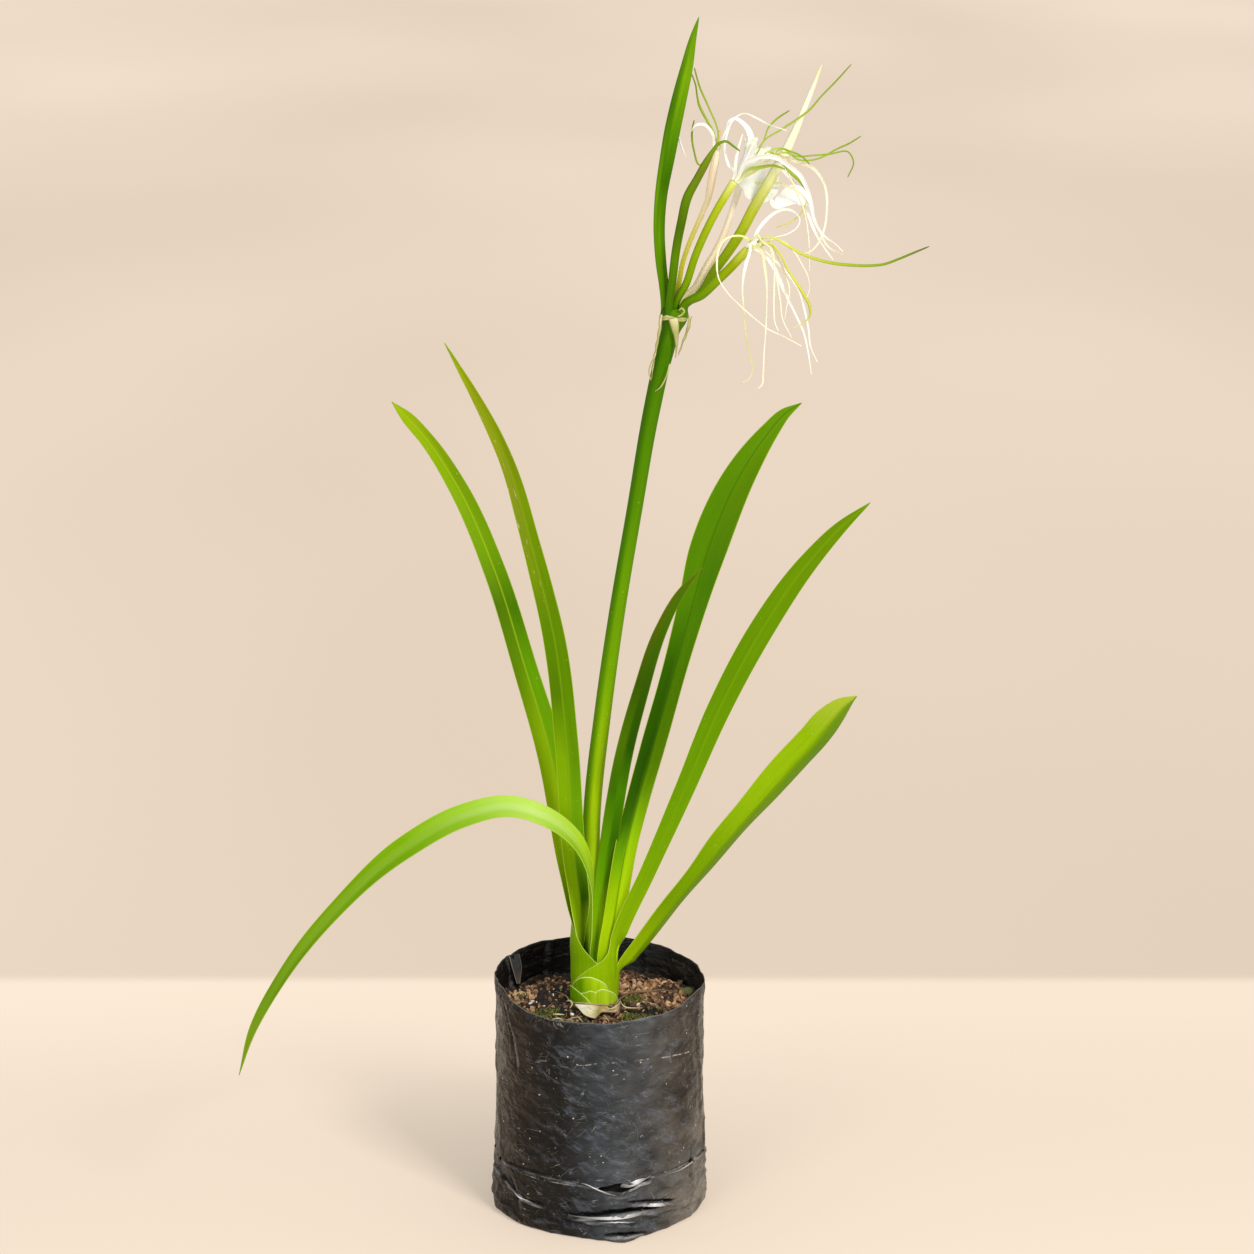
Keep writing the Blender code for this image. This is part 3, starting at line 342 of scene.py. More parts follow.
def add_blade(name, rows, material, thickness, fold, stations, columns, wave, wrap_to=None,
              rib=0.0, curl=0.0):
    """A leaf or petal through rows of x, y, z, width (mm) and turn (degrees), base to tip."""
    places = np.linspace(0.0, 1.0, stations)
    if wrap_to is not None:
        places = np.concatenate([np.linspace(0.0, 0.2, 80, endpoint=False),
                                 np.linspace(0.2, 1.0, stations)])
    rows = sample_rows(rows, places)
    centre = rows[:, :3]
    across, face = blade_axes(directions(centre), rows[:, 4])
    half = np.maximum(rows[:, 3], 0.5)[:, None] / 2
    u = np.sin(np.linspace(-1.0, 1.0, columns) * math.pi / 2)
    run = lengths(centre)[:, None]
    bend = (fold[0] + (fold[1] - fold[0]) * places[:, None]) * np.abs(u) ** 1.4 * half
    bend = bend - curl * half * np.maximum(np.abs(u) - 0.6, 0.0)
    ripple = np.sin(run / wave[1] * 2 * math.pi + np.sign(u) * 0.9)
    bend = bend + wave[0] * ripple * np.abs(u) ** 2
    middle = centre[:, None] + across[:, None] * (u * half)[:, :, None]
    middle = middle + face[:, None] * bend[:, :, None]
    if wrap_to is not None:
        middle = wrap_base(middle, centre[:, 2], u, wrap_to)
    depth = np.minimum(thickness, half * 1.2) * (1.0 - 0.7 * u * u)
    depth = depth + rib * np.exp(-(u * half / 1.3) ** 2) * np.minimum(1.0, half / 5.0)
    return sheet_piece(name, middle, depth, blade_layers(middle, u), material,
                       facing=face[:, None])


def add_patch(name, first, second, material, sag, ripple, thickness=0.5, stations=110):
    """A scrap between two lines of points, x, y, z in rows; its middle hangs down by sag."""
    places = np.linspace(0.0, 1.0, stations)
    share = np.linspace(0.0, 1.0, 25)
    near, far = (sample_rows(numbers(line), places)[:, None] for line in (first, second))
    middle = near + (far - near) * share[None, :, None]
    bow = np.sin(share * math.pi) * np.sin(places[:, None] * math.pi) ** 0.5
    middle[:, :, 2] += bow * (ripple * np.sin(places[:, None] * 23.0 + 5.0 * share) - sag)
    layers = blade_layers(middle, 2.0 * share - 1.0)
    return sheet_piece(name, middle, thickness, layers, material, facing=(0.0, -0.4, 1.0))


def tube_rings(rows, sides, ridges=0, ridge=0.0, squash=1.0, phase=0.0):
    """Rings of points round a line of rows x, y, z, radius; ridges run along it."""
    centre = rows[:, :3]
    tangent = directions(centre)
    side = np.cross(tangent[0], [0.31, 0.87, 0.42])
    east = []
    for step in tangent:
        side = side - step * side.dot(step)
        side = side / np.linalg.norm(side)
        east.append(side)
    east = np.array(east)[:, None]
    north = np.cross(tangent[:, None], east)
    angle = turns(sides)
    swell = np.ones(sides)
    if ridges:
        swell = 1.0 + ridge * (np.abs(np.cos(ridges * angle / 2 + phase)) - 0.6)
    radius = np.maximum(rows[:, 3], 0.1)[:, None] * swell
    wide = radius * np.cos(angle)
    deep = radius * np.sin(angle) * squash
    rings = centre[:, None] + east * wide[:, :, None] + north * deep[:, :, None]
    run = lengths(centre)
    flat = np.ones_like(wide)
    layers = {
        "across": flat * np.cos(angle), "along": flat * (run / run[-1])[:, None],
        "run": flat * run[:, None], "wide": wide, "deep": deep, "edge": flat * NO_EDGE,
    }
    return rings, layers


def close_rings(rings, layers):
    """Points, faces and layers of a tube closed by a point at each end."""
    count, sides = rings.shape[:2]
    ends = rings[[0, -1]].mean(axis=1)
    points = np.concatenate([rings.reshape(-1, 3), ends])
    faces = grid_faces(count, sides, wrap=True)
    last = (count - 1) * sides
    for k in range(sides):
        j = (k + 1) % sides
        faces.append([count * sides, j, k])
        faces.append([count * sides + 1, last + k, last + j])
    tails = {key: np.concatenate([np.ravel(v), v[0, :1], v[-1, :1]]) for key, v in layers.items()}
    return points, outward(points, faces), tails


def add_tube(name, rows, material, sides, stations, round_tip=True, **shape):
    rows = sample_rows(rows, np.linspace(0.0, 1.0, stations))
    if round_tip:
        rows[-1, 3] *= 0.35
        rows[-2, 3] *= 0.8
    points, faces, layers = close_rings(*tube_rings(rows, sides, **shape))
    return add_piece(name, points, faces, layers, material)


def join_bodies(bodies):
    """One list of points, faces and layers from several closed bodies."""
    points, faces, layers, start = [], [], {}, 0
    for some_points, some_faces, some_layers in bodies:
        points.append(some_points)
        faces += [[v + start for v in face] for face in some_faces]
        for key, values in some_layers.items():
            layers.setdefault(key, []).append(np.asarray(values))
        start += len(some_points)
    return np.concatenate(points), faces, {key: np.concatenate(v) for key, v in layers.items()}


def rides(piece, slot, *nodes):
    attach(piece, "root")
    if nodes:
        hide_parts(*nodes)
    return piece


# ---------------------------------------------------------------- plant finishes

NO_EDGE = 9.0  # the layer "edge" of what has no rim: far from it
MARGIN = "0 226 240 150, 0.1 208 226 96, 0.25 170 200 40, 1 150 184 30"


def plant_finish(name, left, right=None, margin=MARGIN, rib=None, rib_width=0.5, streak=0.30,
                 blotch=0.22, specks=0.0, scars=0.0, gloss=0.45, margin_width=0.42, relief=0.10,
                 deepen=0.0):
    """Leaf, stalk or petal: tone by length for each half, the two halves partly painted light and
    painted shade, veins, margins, rib, specks and scars.
    """
    f = Finish(name + "_finish", gloss)
    fine = f.grain(f.strand(0.8, 70.0), rough=0.6)
    broad = f.grain(f.strand(5.0, 45.0))
    along = f.layer("along")
    tone = f.ramp(along, left)
    if right:
        # The right half's tone: where it differs from the left, it is partly painted light and
        # painted shade of that side.
        edge = f.math("ADD", f.layer("across"), f.times(broad, 0.4))
        tone = f.mix(f.step(edge, -0.05, 0.5), tone, f.ramp(along, right))
    tone = f.brighten(tone, fine, streak)
    tone = f.brighten(tone, broad, blotch)
    if scars:
        patch = f.step(f.grain(f.strand(2.2, 14.0), 4.0, 0.7), 0.60, 0.68)
        where = f.times(patch, f.step(along, 0.45, 0.62), f.step(along, 0.97, 0.88),
                        f.step(f.layer("across"), 0.35, -0.2))
        tone = f.tint(tone, (206, 200, 150), where, scars)
    if rib:
        line = f.step(f.math("ABSOLUTE", f.layer("wide")), rib_width * 2.2, rib_width * 0.3)
        tone = f.tint(tone, f.ramp(along, rib) if isinstance(rib, str) else rib, line, 0.55)
    if specks:
        spot = f.step(f.cells(f.strand(6.0, 9.0)), 0.075, 0.045)
        tone = f.tint(tone, (214, 222, 140), spot, specks)
    if margin:
        ragged = f.math("ADD", f.layer("edge"), f.times(broad, 0.3))
        line = f.step(ragged, margin_width * 1.6, margin_width * 0.8)
        tone = f.tint(tone, f.ramp(along, margin), line, 0.85)
    if deepen:
        tone = f.tint(tone, (14, 48, 0), f.step(along, 0.08, 0.36), deepen)
    normal = f.bump(broad, relief * 4.0, f.bump(fine, relief))
    rough = f.math("MULTIPLY_ADD", broad, 0.16, gloss - 0.07)
    return f.finish(tone, normal, rough, Specular_IOR_Level=0.05,
                    Specular_Tint=(1.0, 1.0, 0.5, 1.0))


# The looks of each leaf: tones from base to tip of its left and right half, then what differs from
# the defaults of plant_finish. Where the halves differ, this is partly painted shade and painted
# light: a half turned from the lamps or shaded by the fold is painted darker.
LEAF_FINISHES = {
    "leaf_left_outer": dict(
        left="""
            0 134 178 6, 0.1 112 154 2, 0.2 160 196 12, 0.32 162 200 12, 0.43 146 190 8,
            0.54 100 144 2, 0.64 80 118 2, 0.73 116 162 4, 0.84 132 172 4, 1 157 186 6""",
        right="""
            0 172 206 20, 0.08 160 194 10, 0.17 96 140 3, 0.3 126 170 8, 0.42 112 168 4,
            0.54 100 158 3, 0.63 74 124 1, 0.73 112 158 6, 0.85 118 154 4, 1 157 186 6""",
        rib=(170, 200, 40), specks=0.5),
    "leaf_left_inner": dict(
        left="""
            0 158 192 10, 0.15 130 170 4, 0.34 124 168 4, 0.44 82 124 1, 0.54 92 134 2,
            0.64 116 146 10, 0.75 132 150 30, 1 154 168 10""",
        right="""
            0 176 212 16, 0.12 46 88 1, 0.23 108 164 8, 0.34 98 146 2, 0.5 92 136 1,
            0.66 108 146 3, 0.82 122 144 8, 1 144 160 10""",
        rib=(128, 168, 22), scars=0.75, streak=0.5, specks=0.3),
    # On the arching leaf, the light band near along 0.34 on both halves and its pale rib are a
    # painted highlight on the top of the arch.
    "leaf_arching": dict(
        left="""
            0 105 152 4, 0.13 126 172 12, 0.24 150 196 16, 0.34 184 226 84, 0.44 149 196 40,
            0.55 118 166 12, 0.75 109 150 4, 0.86 100 142 6, 1 141 166 40""",
        right="""
            0 98 144 4, 0.13 130 176 14, 0.24 167 210 30, 0.34 194 234 100, 0.44 160 208 54,
            0.55 124 174 10, 0.75 115 156 5, 0.86 102 146 6, 1 137 162 30""",
        rib="0 141 184 30, 0.22 175 214 60, 0.34 209 240 150, 0.5 150 196 60, 1 113 150 20",
        rib_width=2.4, margin="0 201 228 110, 0.3 194 222 90, 1 160 186 70"),
    "leaf_short": dict(
        left="""
            0 134 176 4, 0.13 122 170 3, 0.24 98 158 2, 0.34 88 146 1, 0.44 62 114 0,
            0.55 74 114 2, 0.7 54 88 2, 0.84 78 102 5, 1 80 112 6""",
        right="""
            0 166 204 12, 0.13 162 202 8, 0.22 86 134 4, 0.32 54 106 3, 0.44 74 134 1,
            0.55 38 82 0, 0.7 50 88 3, 1 80 124 4""",
        margin="0 150 190 30, 0.3 112 140 14, 1 120 128 30"),
    "leaf_tall_right": dict(
        left="""
            0 166 200 8, 0.1 164 202 8, 0.15 148 190 6, 0.2 106 160 5, 0.26 62 112 3,
            0.36 46 94 1, 0.52 52 102 1, 0.64 84 134 3, 0.8 84 134 2, 1 100 146 2""",
        right="""
            0 176 212 10, 0.14 182 218 12, 0.24 150 198 6, 0.31 124 174 4, 0.4 102 152 3,
            0.52 86 136 3, 0.66 72 124 1, 0.8 86 128 1, 1 100 146 4""",
        rib=(56, 104, 2), margin="0 190 216 60, 0.2 206 216 60, 0.5 190 206 50, 1 150 180 20"),
    "leaf_right_middle": dict(
        left="""
            0 150 190 10, 0.12 136 176 3, 0.25 122 168 3, 0.4 110 160 2, 0.6 102 150 2,
            0.8 106 150 2, 1 110 148 8""",
        rib=(120, 168, 8), specks=0.25),
    "leaf_right_low": dict(
        left="""
            0 150 184 10, 0.15 128 168 4, 0.3 112 154 3, 0.5 112 154 3, 0.66 114 158 2,
            0.85 106 152 1, 1 122 166 8""",
        right="""
            0 158 194 12, 0.14 138 170 3, 0.28 118 158 1, 0.42 122 164 2, 0.55 140 182 6,
            0.7 152 192 10, 0.85 146 187 8, 1 178 196 60""",
        rib=(108, 152, 4), specks=0.45, margin="0 226 240 150, 0.1 190 216 60, 1 186 206 60"),
}
# The neck's tones: its left and back, then its right side painted lighter as the lit side.
SHEATH_TONE = "0 106 154 4, 0.35 118 166 6, 0.7 134 182 10, 1 160 202 24"
SHEATH_PAINTED_LIT_SIDE = "0 158 198 10, 0.35 166 206 12, 0.7 176 214 24, 1 186 220 44"
# Stalks, buds, tubes and petals. Where a second tone is given, for tall_bud and scape, the two
# sides hold painted light and painted shade, and the light band low on the scape's left half is a
# painted highlight.
STALK_FINISHES = {
    "tall_bud": dict(
        left="""
            0 66 116 2, 0.25 92 142 3, 0.45 56 102 1, 0.62 80 130 3, 0.8 108 152 8,
            1 92 134 8""",
        right="0 80 128 2, 0.4 96 146 4, 0.7 62 110 2, 1 98 144 8"),
    "bent_bud": dict(
        left="""
            0 60 106 4, 0.3 84 124 6, 0.45 72 104 6, 0.6 92 128 8, 0.72 104 122 24,
            0.85 114 142 26, 1 104 140 22"""),
    "green_tube": dict(
        left="0 84 132 4, 0.25 120 156 6, 0.6 146 170 14, 0.85 176 190 34, 1 222 222 130"),
    "lower_tube": dict(left="0 74 122 2, 0.4 112 150 6, 0.8 150 172 12, 1 204 210 80"),
    "withered_tube": dict(
        left="""
            0 176 184 34, 0.25 224 218 64, 0.5 230 220 112, 0.64 246 228 182, 0.8 253 234 202,
            1 250 236 212"""),
    "pale_bud": dict(
        left="""
            0 92 128 8, 0.2 112 142 10, 0.34 144 166 16, 0.44 178 188 50, 0.53 208 212 124,
            0.64 240 240 204, 0.9 246 244 218, 1 236 234 160"""),
    "cream_tube": dict(left="0 240 226 160, 0.3 253 236 200, 0.6 253 234 202, 1 252 246 234"),
    "scape": dict(
        left="""
            0 150 190 16, 0.1 158 198 18, 0.26 158 196 12, 0.45 110 158 4, 0.7 80 130 3,
            0.94 64 112 2, 1 84 128 6""",
        right="0 120 166 6, 0.1 128 172 6, 0.3 100 150 4, 0.6 68 118 2, 1 54 98 2", specks=0.35),
    "white": dict(left="0 238 240 214, 0.12 248 250 244, 0.7 250 251 247, 1 240 240 222"),
    "white_to_green": dict(
        left="0 246 248 236, 0.3 244 246 230, 0.5 220 222 160, 0.8 196 202 128, 1 232 228 200"),
    "cream": dict(left="0 226 230 130, 0.3 242 240 206, 0.7 246 242 224, 1 236 230 200"),
    "green_strap": dict(left="0 232 236 190, 0.4 176 196 92, 0.8 150 178 70, 1 140 168 50"),
    "filament_green": dict(
        left="0 214 224 120, 0.2 168 190 70, 0.6 150 178 52, 0.9 128 158 40, 1 138 140 60"),
    "filament_yellow": dict(left="0 214 218 90, 0.5 206 208 84, 0.8 188 194 80, 1 226 220 170"),
    "filament_cream": dict(left="0 226 228 140, 0.4 242 238 206, 1 246 240 226"),
    "style": dict(
        left="0 222 226 120, 0.25 206 212 84, 0.5 166 188 44, 0.8 124 154 34, 1 88 110 40"),
    "pink_strand": dict(left="0 214 196 130, 0.5 236 206 178, 1 244 226 210"),
}
# Finishes with fainter veins, and those with a firm, smoother skin.
PALE = ("white", "white_to_green", "cream", "pink_strand", "filament_cream", "cream_tube",
        "withered_tube")
FIRM = ("scape", "tall_bud", "bent_bud", "pale_bud", "green_tube", "lower_tube")


def plant_finishes():
    made = {name: plant_finish(name, deepen=0.17, **tones)
            for name, tones in LEAF_FINISHES.items()}
    for name, tones in STALK_FINISHES.items():
        streak, blotch = (0.10, 0.05) if name in PALE else (0.3, 0.18)
        made[name] = plant_finish(name, margin=None, streak=streak, blotch=blotch,
                                  gloss=0.42 if name in FIRM else 0.55, relief=0.08, **tones)
    made["neck"] = plant_finish(
        "neck", SHEATH_TONE, SHEATH_PAINTED_LIT_SIDE, margin="0 226 240 130, 1 244 250 176",
        margin_width=0.62, streak=0.4, blotch=0.7, gloss=0.36)
    return made


# ---------------------------------------------------------------- neck and leaves

NECK_X, NECK_Y, NECK_DEPTH = -3.9, -1.0, 0.88
NECK_PROFILE = numbers("""
    150 18.5, 163 16.8, 170 16.6, 176 16.8, 183 17.2, 190 17.4, 200 17.3, 215 18.2, 230 19.2,
    250 20.5""")


def neck_point(degrees, height, layer):
    """A point on the neck's outside, pushed out by layer millimetres."""
    radius = np.interp(height, *zip(*NECK_PROFILE)) + layer
    angle = np.radians(degrees)
    x = NECK_X + radius * np.cos(angle)
    y = NECK_Y + radius * NECK_DEPTH * np.sin(angle)
    return np.stack(np.broadcast_arrays(x, y, height), axis=-1)


def sheath_angle(height, u, sheath):
    """The direction on the neck of a share u of a leaf base that wraps the neck."""
    plus, minus = (np.interp(height, *zip(*sheath[side])) for side in ("plus", "minus"))
    return sheath["middle"] - u * np.where(u > 0, plus, minus)


def wrap_base(middle, height, u, sheath):
    """Bend the foot of a blade round the neck and free it between two heights."""
    level = np.broadcast_to(height[:, None], middle.shape[:2])
    angle = sheath_angle(level, np.broadcast_to(u, level.shape), sheath)
    around = neck_point(angle, level, sheath["layer"])
    share = smooth_step(level, *sheath["free"])[:, :, None]
    return around * (1.0 - share) + middle * share


# How each leaf base wraps the neck: the direction of its middle, how many millimetres out it lies,
# the heights between which the blade comes free, and how far each half reaches (height, degrees).
SHEATHS = {
    "leaf_left_outer": dict(middle=180.0, layer=0.3, free=(207.0, 242.0),
        minus=numbers("""
            160 172, 184 150, 192 124, 200.5 98, 204.3 87, 208.3 75, 213 63, 219.5 51, 226 42,
            233 34, 245 24"""),
        plus=numbers("160 172, 184 150, 196 110, 206 80, 218 50, 230 32, 245 22")),
    "leaf_right_middle": dict(middle=328.0, layer=0.8, free=(202.0, 227.0),
        minus=numbers("163 150, 176 90, 186 54, 194 38, 205 22, 213 18, 230 14"),
        plus=numbers("""
            163 172, 176 140, 186 111, 191.6 91, 197.2 69, 200.7 50, 204 36, 208 24, 213 18,
            230 14""")),
    "leaf_right_low": dict(middle=365.0, layer=1.3, free=(185.0, 199.0),
        minus=numbers("165 175, 172 140, 178 100, 184 64, 190 38, 201 24"),
        plus=numbers("""
            165 172, 170 150, 175 133, 177.7 114, 181 96, 184 77, 187.3 59, 190.3 43, 194.2 27,
            201 22""")),
}
# Each leaf: its fold at the base and the tip, the depth and length of its waves, and rows of x, y,
# z, width and turn.
LEAVES = {
    "leaf_left_outer": ((0.3, 0.3), (0.5, 75.0), """
        -22 -1 162 12 90, -21 -0.5 182 12.5 90, -20 1 196.3 13 88, -19 4 214 14 75,
        -21 10 245 17 40, -25 15 277 18.5 16, -39 26 362 20.5 8, -57 39 422 18.5 6,
        -81 56 497 17 6, -108.5 74 557 14.5 8, -134 87 594 11 10, -150 93 611 8.5 10,
        -161 98 621 0.6 10"""),
    "leaf_left_inner": ((0.16, 0.16), (0.6, 60.0), """
        -15.5 -2 186 12 88, -15.5 -2 196.3 12 88, -15 -3 214 13 66, -15.5 -3.5 245 16 30,
        -19 -5 280 17.5 10, -25 -9 379 18 2, -32 -16 452 17 0, -49 -27 533 14 -2,
        -70.5 -40 612 10.5 -4, -89.5 -49 654 7 -4, -111.5 -58 696 0.5 -4"""),
    "leaf_arching": ((0.22, 0.22), (0.5, 90.0), """
        -8.5 -6 186 8 80, -8.5 -6.5 198 8 80, -7.8 -9 212 9.5 84, -7 -14 232 12 88,
        -7 -20.5 270 16.5 84, -18 -28 304 17.5 62, -41 -38 327 17.7 50, -67 -46 337.5 17.7 44,
        -103 -56 333 19.5 40, -147 -66 310.5 18.5 38, -199 -78 265.5 12.5 34, -236 -86 220 10 30,
        -262 -90 174 6 26, -273 -92 139 0.5 22"""),
    "leaf_short": ((0.25, 0.25), (0.3, 55.0), """
        -2.4 -3 186 10 -6, -1.8 -3 198 10 -6, -1.2 -2 214 10 -6, -0.2 0 236 10.4 -4,
        2.6 1.5 260 12 0, 8 1 298 14 0, 12.5 -4 330 14 0, 18 -12 364 13.5 0, 32 -16 421 12 0,
        47 -21 470 9.5 0, 62 -24 500 6 0, 78 -28 520 0.5 0"""),
    "leaf_tall_right": ((0.12, 0.28), (0.5, 80.0), """
        4 -6.5 186 14 4, 5.2 -7.5 198 15 4, 7.4 -8.5 214 15.8 2, 10.8 -8 232 16.4 0,
        15.6 -5.5 262 16.8 -4, 20.8 -1 291 17 -8, 30 10 326 18 -12, 41 24 362 19 -14,
        62.5 36 439 19.5 -10, 73 43 477 23 -8, 84 50 515 28.5 -8, 111 64 575 23 -8,
        131.5 75 603 14 -8, 142.5 80 615 9 -8, 156 84 623 0.6 -8"""),
    "leaf_right_middle": ((0.16, 0.16), (0.3, 90.0), """
        8 -9.5 163 10.5 190, 8.5 -9.5 182 10.5 190, 9 -9.5 196.3 10.5 190, 14 -12 218 11.5 186,
        38 -23 279 12.3 182, 65 -36 348 15 180, 90 -50 415 17.8 178, 121 -64 481 18.5 176,
        156 -78 538 14 176, 177.5 -87 565 9 176, 198 -94 585 0.6 176"""),
    "leaf_right_low": ((0.35, 0.36), (0.4, 70.0), """
        12.5 -5 170 14 -140, 14.5 -4.5 181 14.5 -140, 18.5 -3.5 190.5 15 -142,
        25.5 -1.5 200.5 16 -144, 32 0.5 208.5 16.5 -145, 40 3 218.5 17 -145, 57 8 239.5 18 -145,
        77 12 263.5 20.5 -145, 96 15.5 287 24.5 -146, 115.5 19 309.5 27 -147,
        135 22.5 331.5 29.5 -149, 154 25 352.5 31 -150, 167.5 27 367.5 30.5 -150,
        180 28.5 383.5 27 -150, 190.5 30 395.5 16 -150, 199 31 403 1 -150"""),
}

# The torn rims of older leaf bases on the neck: how far out each lies, and its (direction, height).
OLD_SHEATHS = [
    (1.9, """
        150 163, 185 172, 200 178, 214 183.9, 232 188.1, 248 190.4, 264 190.2, 277 188.6, 291 186,
        304 181, 316 172, 324 163"""),
    (2.2, """
        206 163, 218 170, 231 175.6, 248 177.2, 260 179, 273 178.1, 285 175.1, 296 170.8,
        304 163"""),
    (2.4, "262 163, 268 173, 275 179.2, 291 180.2, 304 178.5, 320 175.5, 336 171.6, 356 163"),
    (2.6, """
        120 163, 150 172, 180 178, 201 179.9, 220 178.2, 234 176.8, 244 174.2, 253 171.8, 263 169,
        272 163"""),
]


def add_neck(finishes):
    """The bulb's neck: a core, and the rims of old leaf bases on it as thin shells."""
    heights = np.concatenate([np.linspace(104.0, 150.0, 10), np.linspace(153.0, 199.0, 30)])
    degrees = np.linspace(0.0, 360.0, 120, endpoint=False)
    rings = neck_point(degrees[None], heights[:, None], -1.6)
    low = smooth_step(heights, 100.0, 150.0)[:, None]
    bulge = 1.0 + 0.5 * np.sin(low * math.pi) - 0.7 * (1.0 - low) ** 3
    for axis, middle in enumerate((NECK_X, NECK_Y)):
        rings[:, :, axis] = middle + (rings[:, :, axis] - middle) * bulge
    flat = np.ones(rings.shape[:2])
    # across grows toward the right, where the neck's finish paints its lit side.
    layers = {"across": flat * (0.3 + np.cos(np.radians(degrees))), "edge": flat * NO_EDGE,
              "wide": rings[:, :, 0], "deep": rings[:, :, 1], "run": rings[:, :, 2],
              "along": flat * smooth_step(heights, 165.0, 205.0)[:, None]}
    core = add_piece("neck_core", *close_rings(rings, layers), finishes["neck"])
    rides(core, "bulb_flesh", "bulb")
    for number, (layer, rim) in enumerate(OLD_SHEATHS):
        rim = numbers(rim)
        degrees = np.linspace(rim[0][0], rim[-1][0], 110)
        top = np.interp(degrees, *zip(*rim))
        for _ in range(3):
            top = np.convolve(np.pad(top, 3, mode="edge"), np.ones(7) / 7, mode="valid")
        top = top + 0.12 * np.sin(degrees / 5.1 + number)
        share = np.linspace(0.0, 1.0, 16)[:, None] ** 1.5
        height = top * (1.0 - share) + 160.0 * share
        middle = neck_point(np.broadcast_to(degrees, height.shape), height, layer - 0.3)
        flat = np.ones_like(height)
        # across grows toward the right, where the neck's finish paints its lit side.
        layers = {"across": flat * (0.3 + np.cos(np.radians(degrees))),
                  "along": 0.1 + 0.9 * smooth_step(degrees, 200.0, 330.0) * flat,
                  "edge": top - height, "wide": degrees / 3.0 * flat, "deep": flat * number,
                  "run": height}
        thick = 0.5 - 0.25 * np.exp(-(top - height) / 1.2)
        outer = middle - np.array([NECK_X, NECK_Y, 0.0])
        piece = sheet_piece(f"old_sheath_{number + 1}", middle, thick, layers,
                            finishes["neck"], facing=outer)
        rides(piece, "leaf")


def add_leaves(finishes):
    for name, (fold, wave, rows) in LEAVES.items():
        piece = add_blade(name + "_blade", numbers(rows), finishes[name], 1.3, fold, 190, 29,
                          wave, SHEATHS.get(name), rib=0.7)
        rides(piece, "leaf", name)


# ---------------------------------------------------------------- scape, buds and flowers

SCAPE_TOP = 705.0
UMBEL_CENTRE = (57.0, 18.0)
UMBEL_RING = 7.3
# The scape: rows of x, y, z, radius.
SCAPE = """
    -5.5 7.5 190 6.2, -5.5 7.5 202 6.4, -5.8 8 214 6.6, -6 9 245 7, -6 10 309 6.9,
    3 12 397 6.6, 14 14 476 6.2, 27 16 554 6, 40 17 631 6.4, 50 18 677 7, 54.6 18 694 7.7,
    56 18 699.5 9.8, 57 18 705 10.6, 57.3 18 708.5 9.4"""
# Each stalk of the umbel: the direction of its foot on the ring, or None in the ring's middle, its
# finish, the ridges along it, then rows of x, y, z, radius.
UMBEL = {
    "tall_bud": (180, "tall_bud", dict(ridges=6, ridge=0.14, phase=0.5), """
        49 16 724 3.6, 46.7 16 743.5 4.1, 45.3 17 766 4.3, 46.6 19 792 4.7, 51 21 819 5.6,
        54.7 23 839 6, 59.8 25 862.5 5.7, 65.6 27 887 4.6, 70 29 907.5 2.6, 74.3 30 923 0.4"""),
    "bent_bud": (235, "bent_bud", dict(ridges=6, ridge=0.1), """
        55.5 5 735 3.1, 57.7 2 754.5 3.1, 61.6 -1 776 3.2, 66 -4 795 3.3, 73 -6 808.5 2.9,
        79.3 -8 820.5 2.6, 84.3 -10 829.5 1.5, 88.6 -11 835 1.1, 93.7 -11 836.5 0.9,
        99 -10 833 0.8, 104 -9 829 0.6"""),
    "left_flower_tube": (123, "withered_tube", dict(ridges=3, ridge=0.2), """
        60.2 28 725 1.9, 62.6 31 738 1.8, 67.8 34 754 1.8, 75.6 37 772 1.9, 82.7 40 789.5 2.3,
        85.7 42 804 2.5, 89 43 823 2.6"""),
    "upper_flower_tube": (None, "green_tube", dict(ridges=6, ridge=0.05), """
        66 13 729 2.8, 71.8 10 748 2.8, 79.8 8 767.5 2.9, 88 6 784 2.9, 95.2 4.8 796.5 3,
        101 4 806 3.1"""),
    "back_flower_tube": (65, "cream_tube", dict(ridges=4, ridge=0.2), """
        73.8 28 723.5 3, 81 32 736.5 3.1, 88.1 36 748 3, 94.5 40 762 2.4, 99.3 42 776 2.1,
        106 44 797 2.6"""),
    "pale_bud": (16, "pale_bud", dict(ridges=6, ridge=0.1, phase=0.2), """
        75.9 19 719 3, 86.3 20 735.5 3.3, 95.9 21 749 3.6, 106.3 22 765 3.8, 115.8 23 783 4,
        126 24 800.5 4, 135.6 25 818 3.7, 144.4 27 836 3, 151.6 28 853.5 2.2, 158.1 29 869.5 1.6,
        165.3 31 888 0.4"""),
    "lower_flower_tube": (322, "lower_tube", dict(ridges=6, ridge=0.05), """
        77.8 2 722 3.5, 88.6 -7 734 3.4, 97.3 -13 743.5 3.3, 104.4 -17 752 3.4,
        111 -20 759 3.5"""),
}

# The direction in which each flower opens at the end of its tube.
OPENS_TOWARD = {
    "left_flower": (0.26, 0.1, 0.96),
    "upper_flower": (0.6, -0.12, 0.79),
    "back_flower": (0.42, 0.12, 0.9),
    "lower_flower": (0.72, -0.24, 0.62),
}
# Each cup: its length, its radius at the foot and at the rim, in millimetres.
CUPS = {
    "upper_flower": (29.0, 2.4, 11.6),
    "back_flower": (30.0, 1.2, 11.0),
    "lower_flower": (9.0, 2.4, 4.4),
}

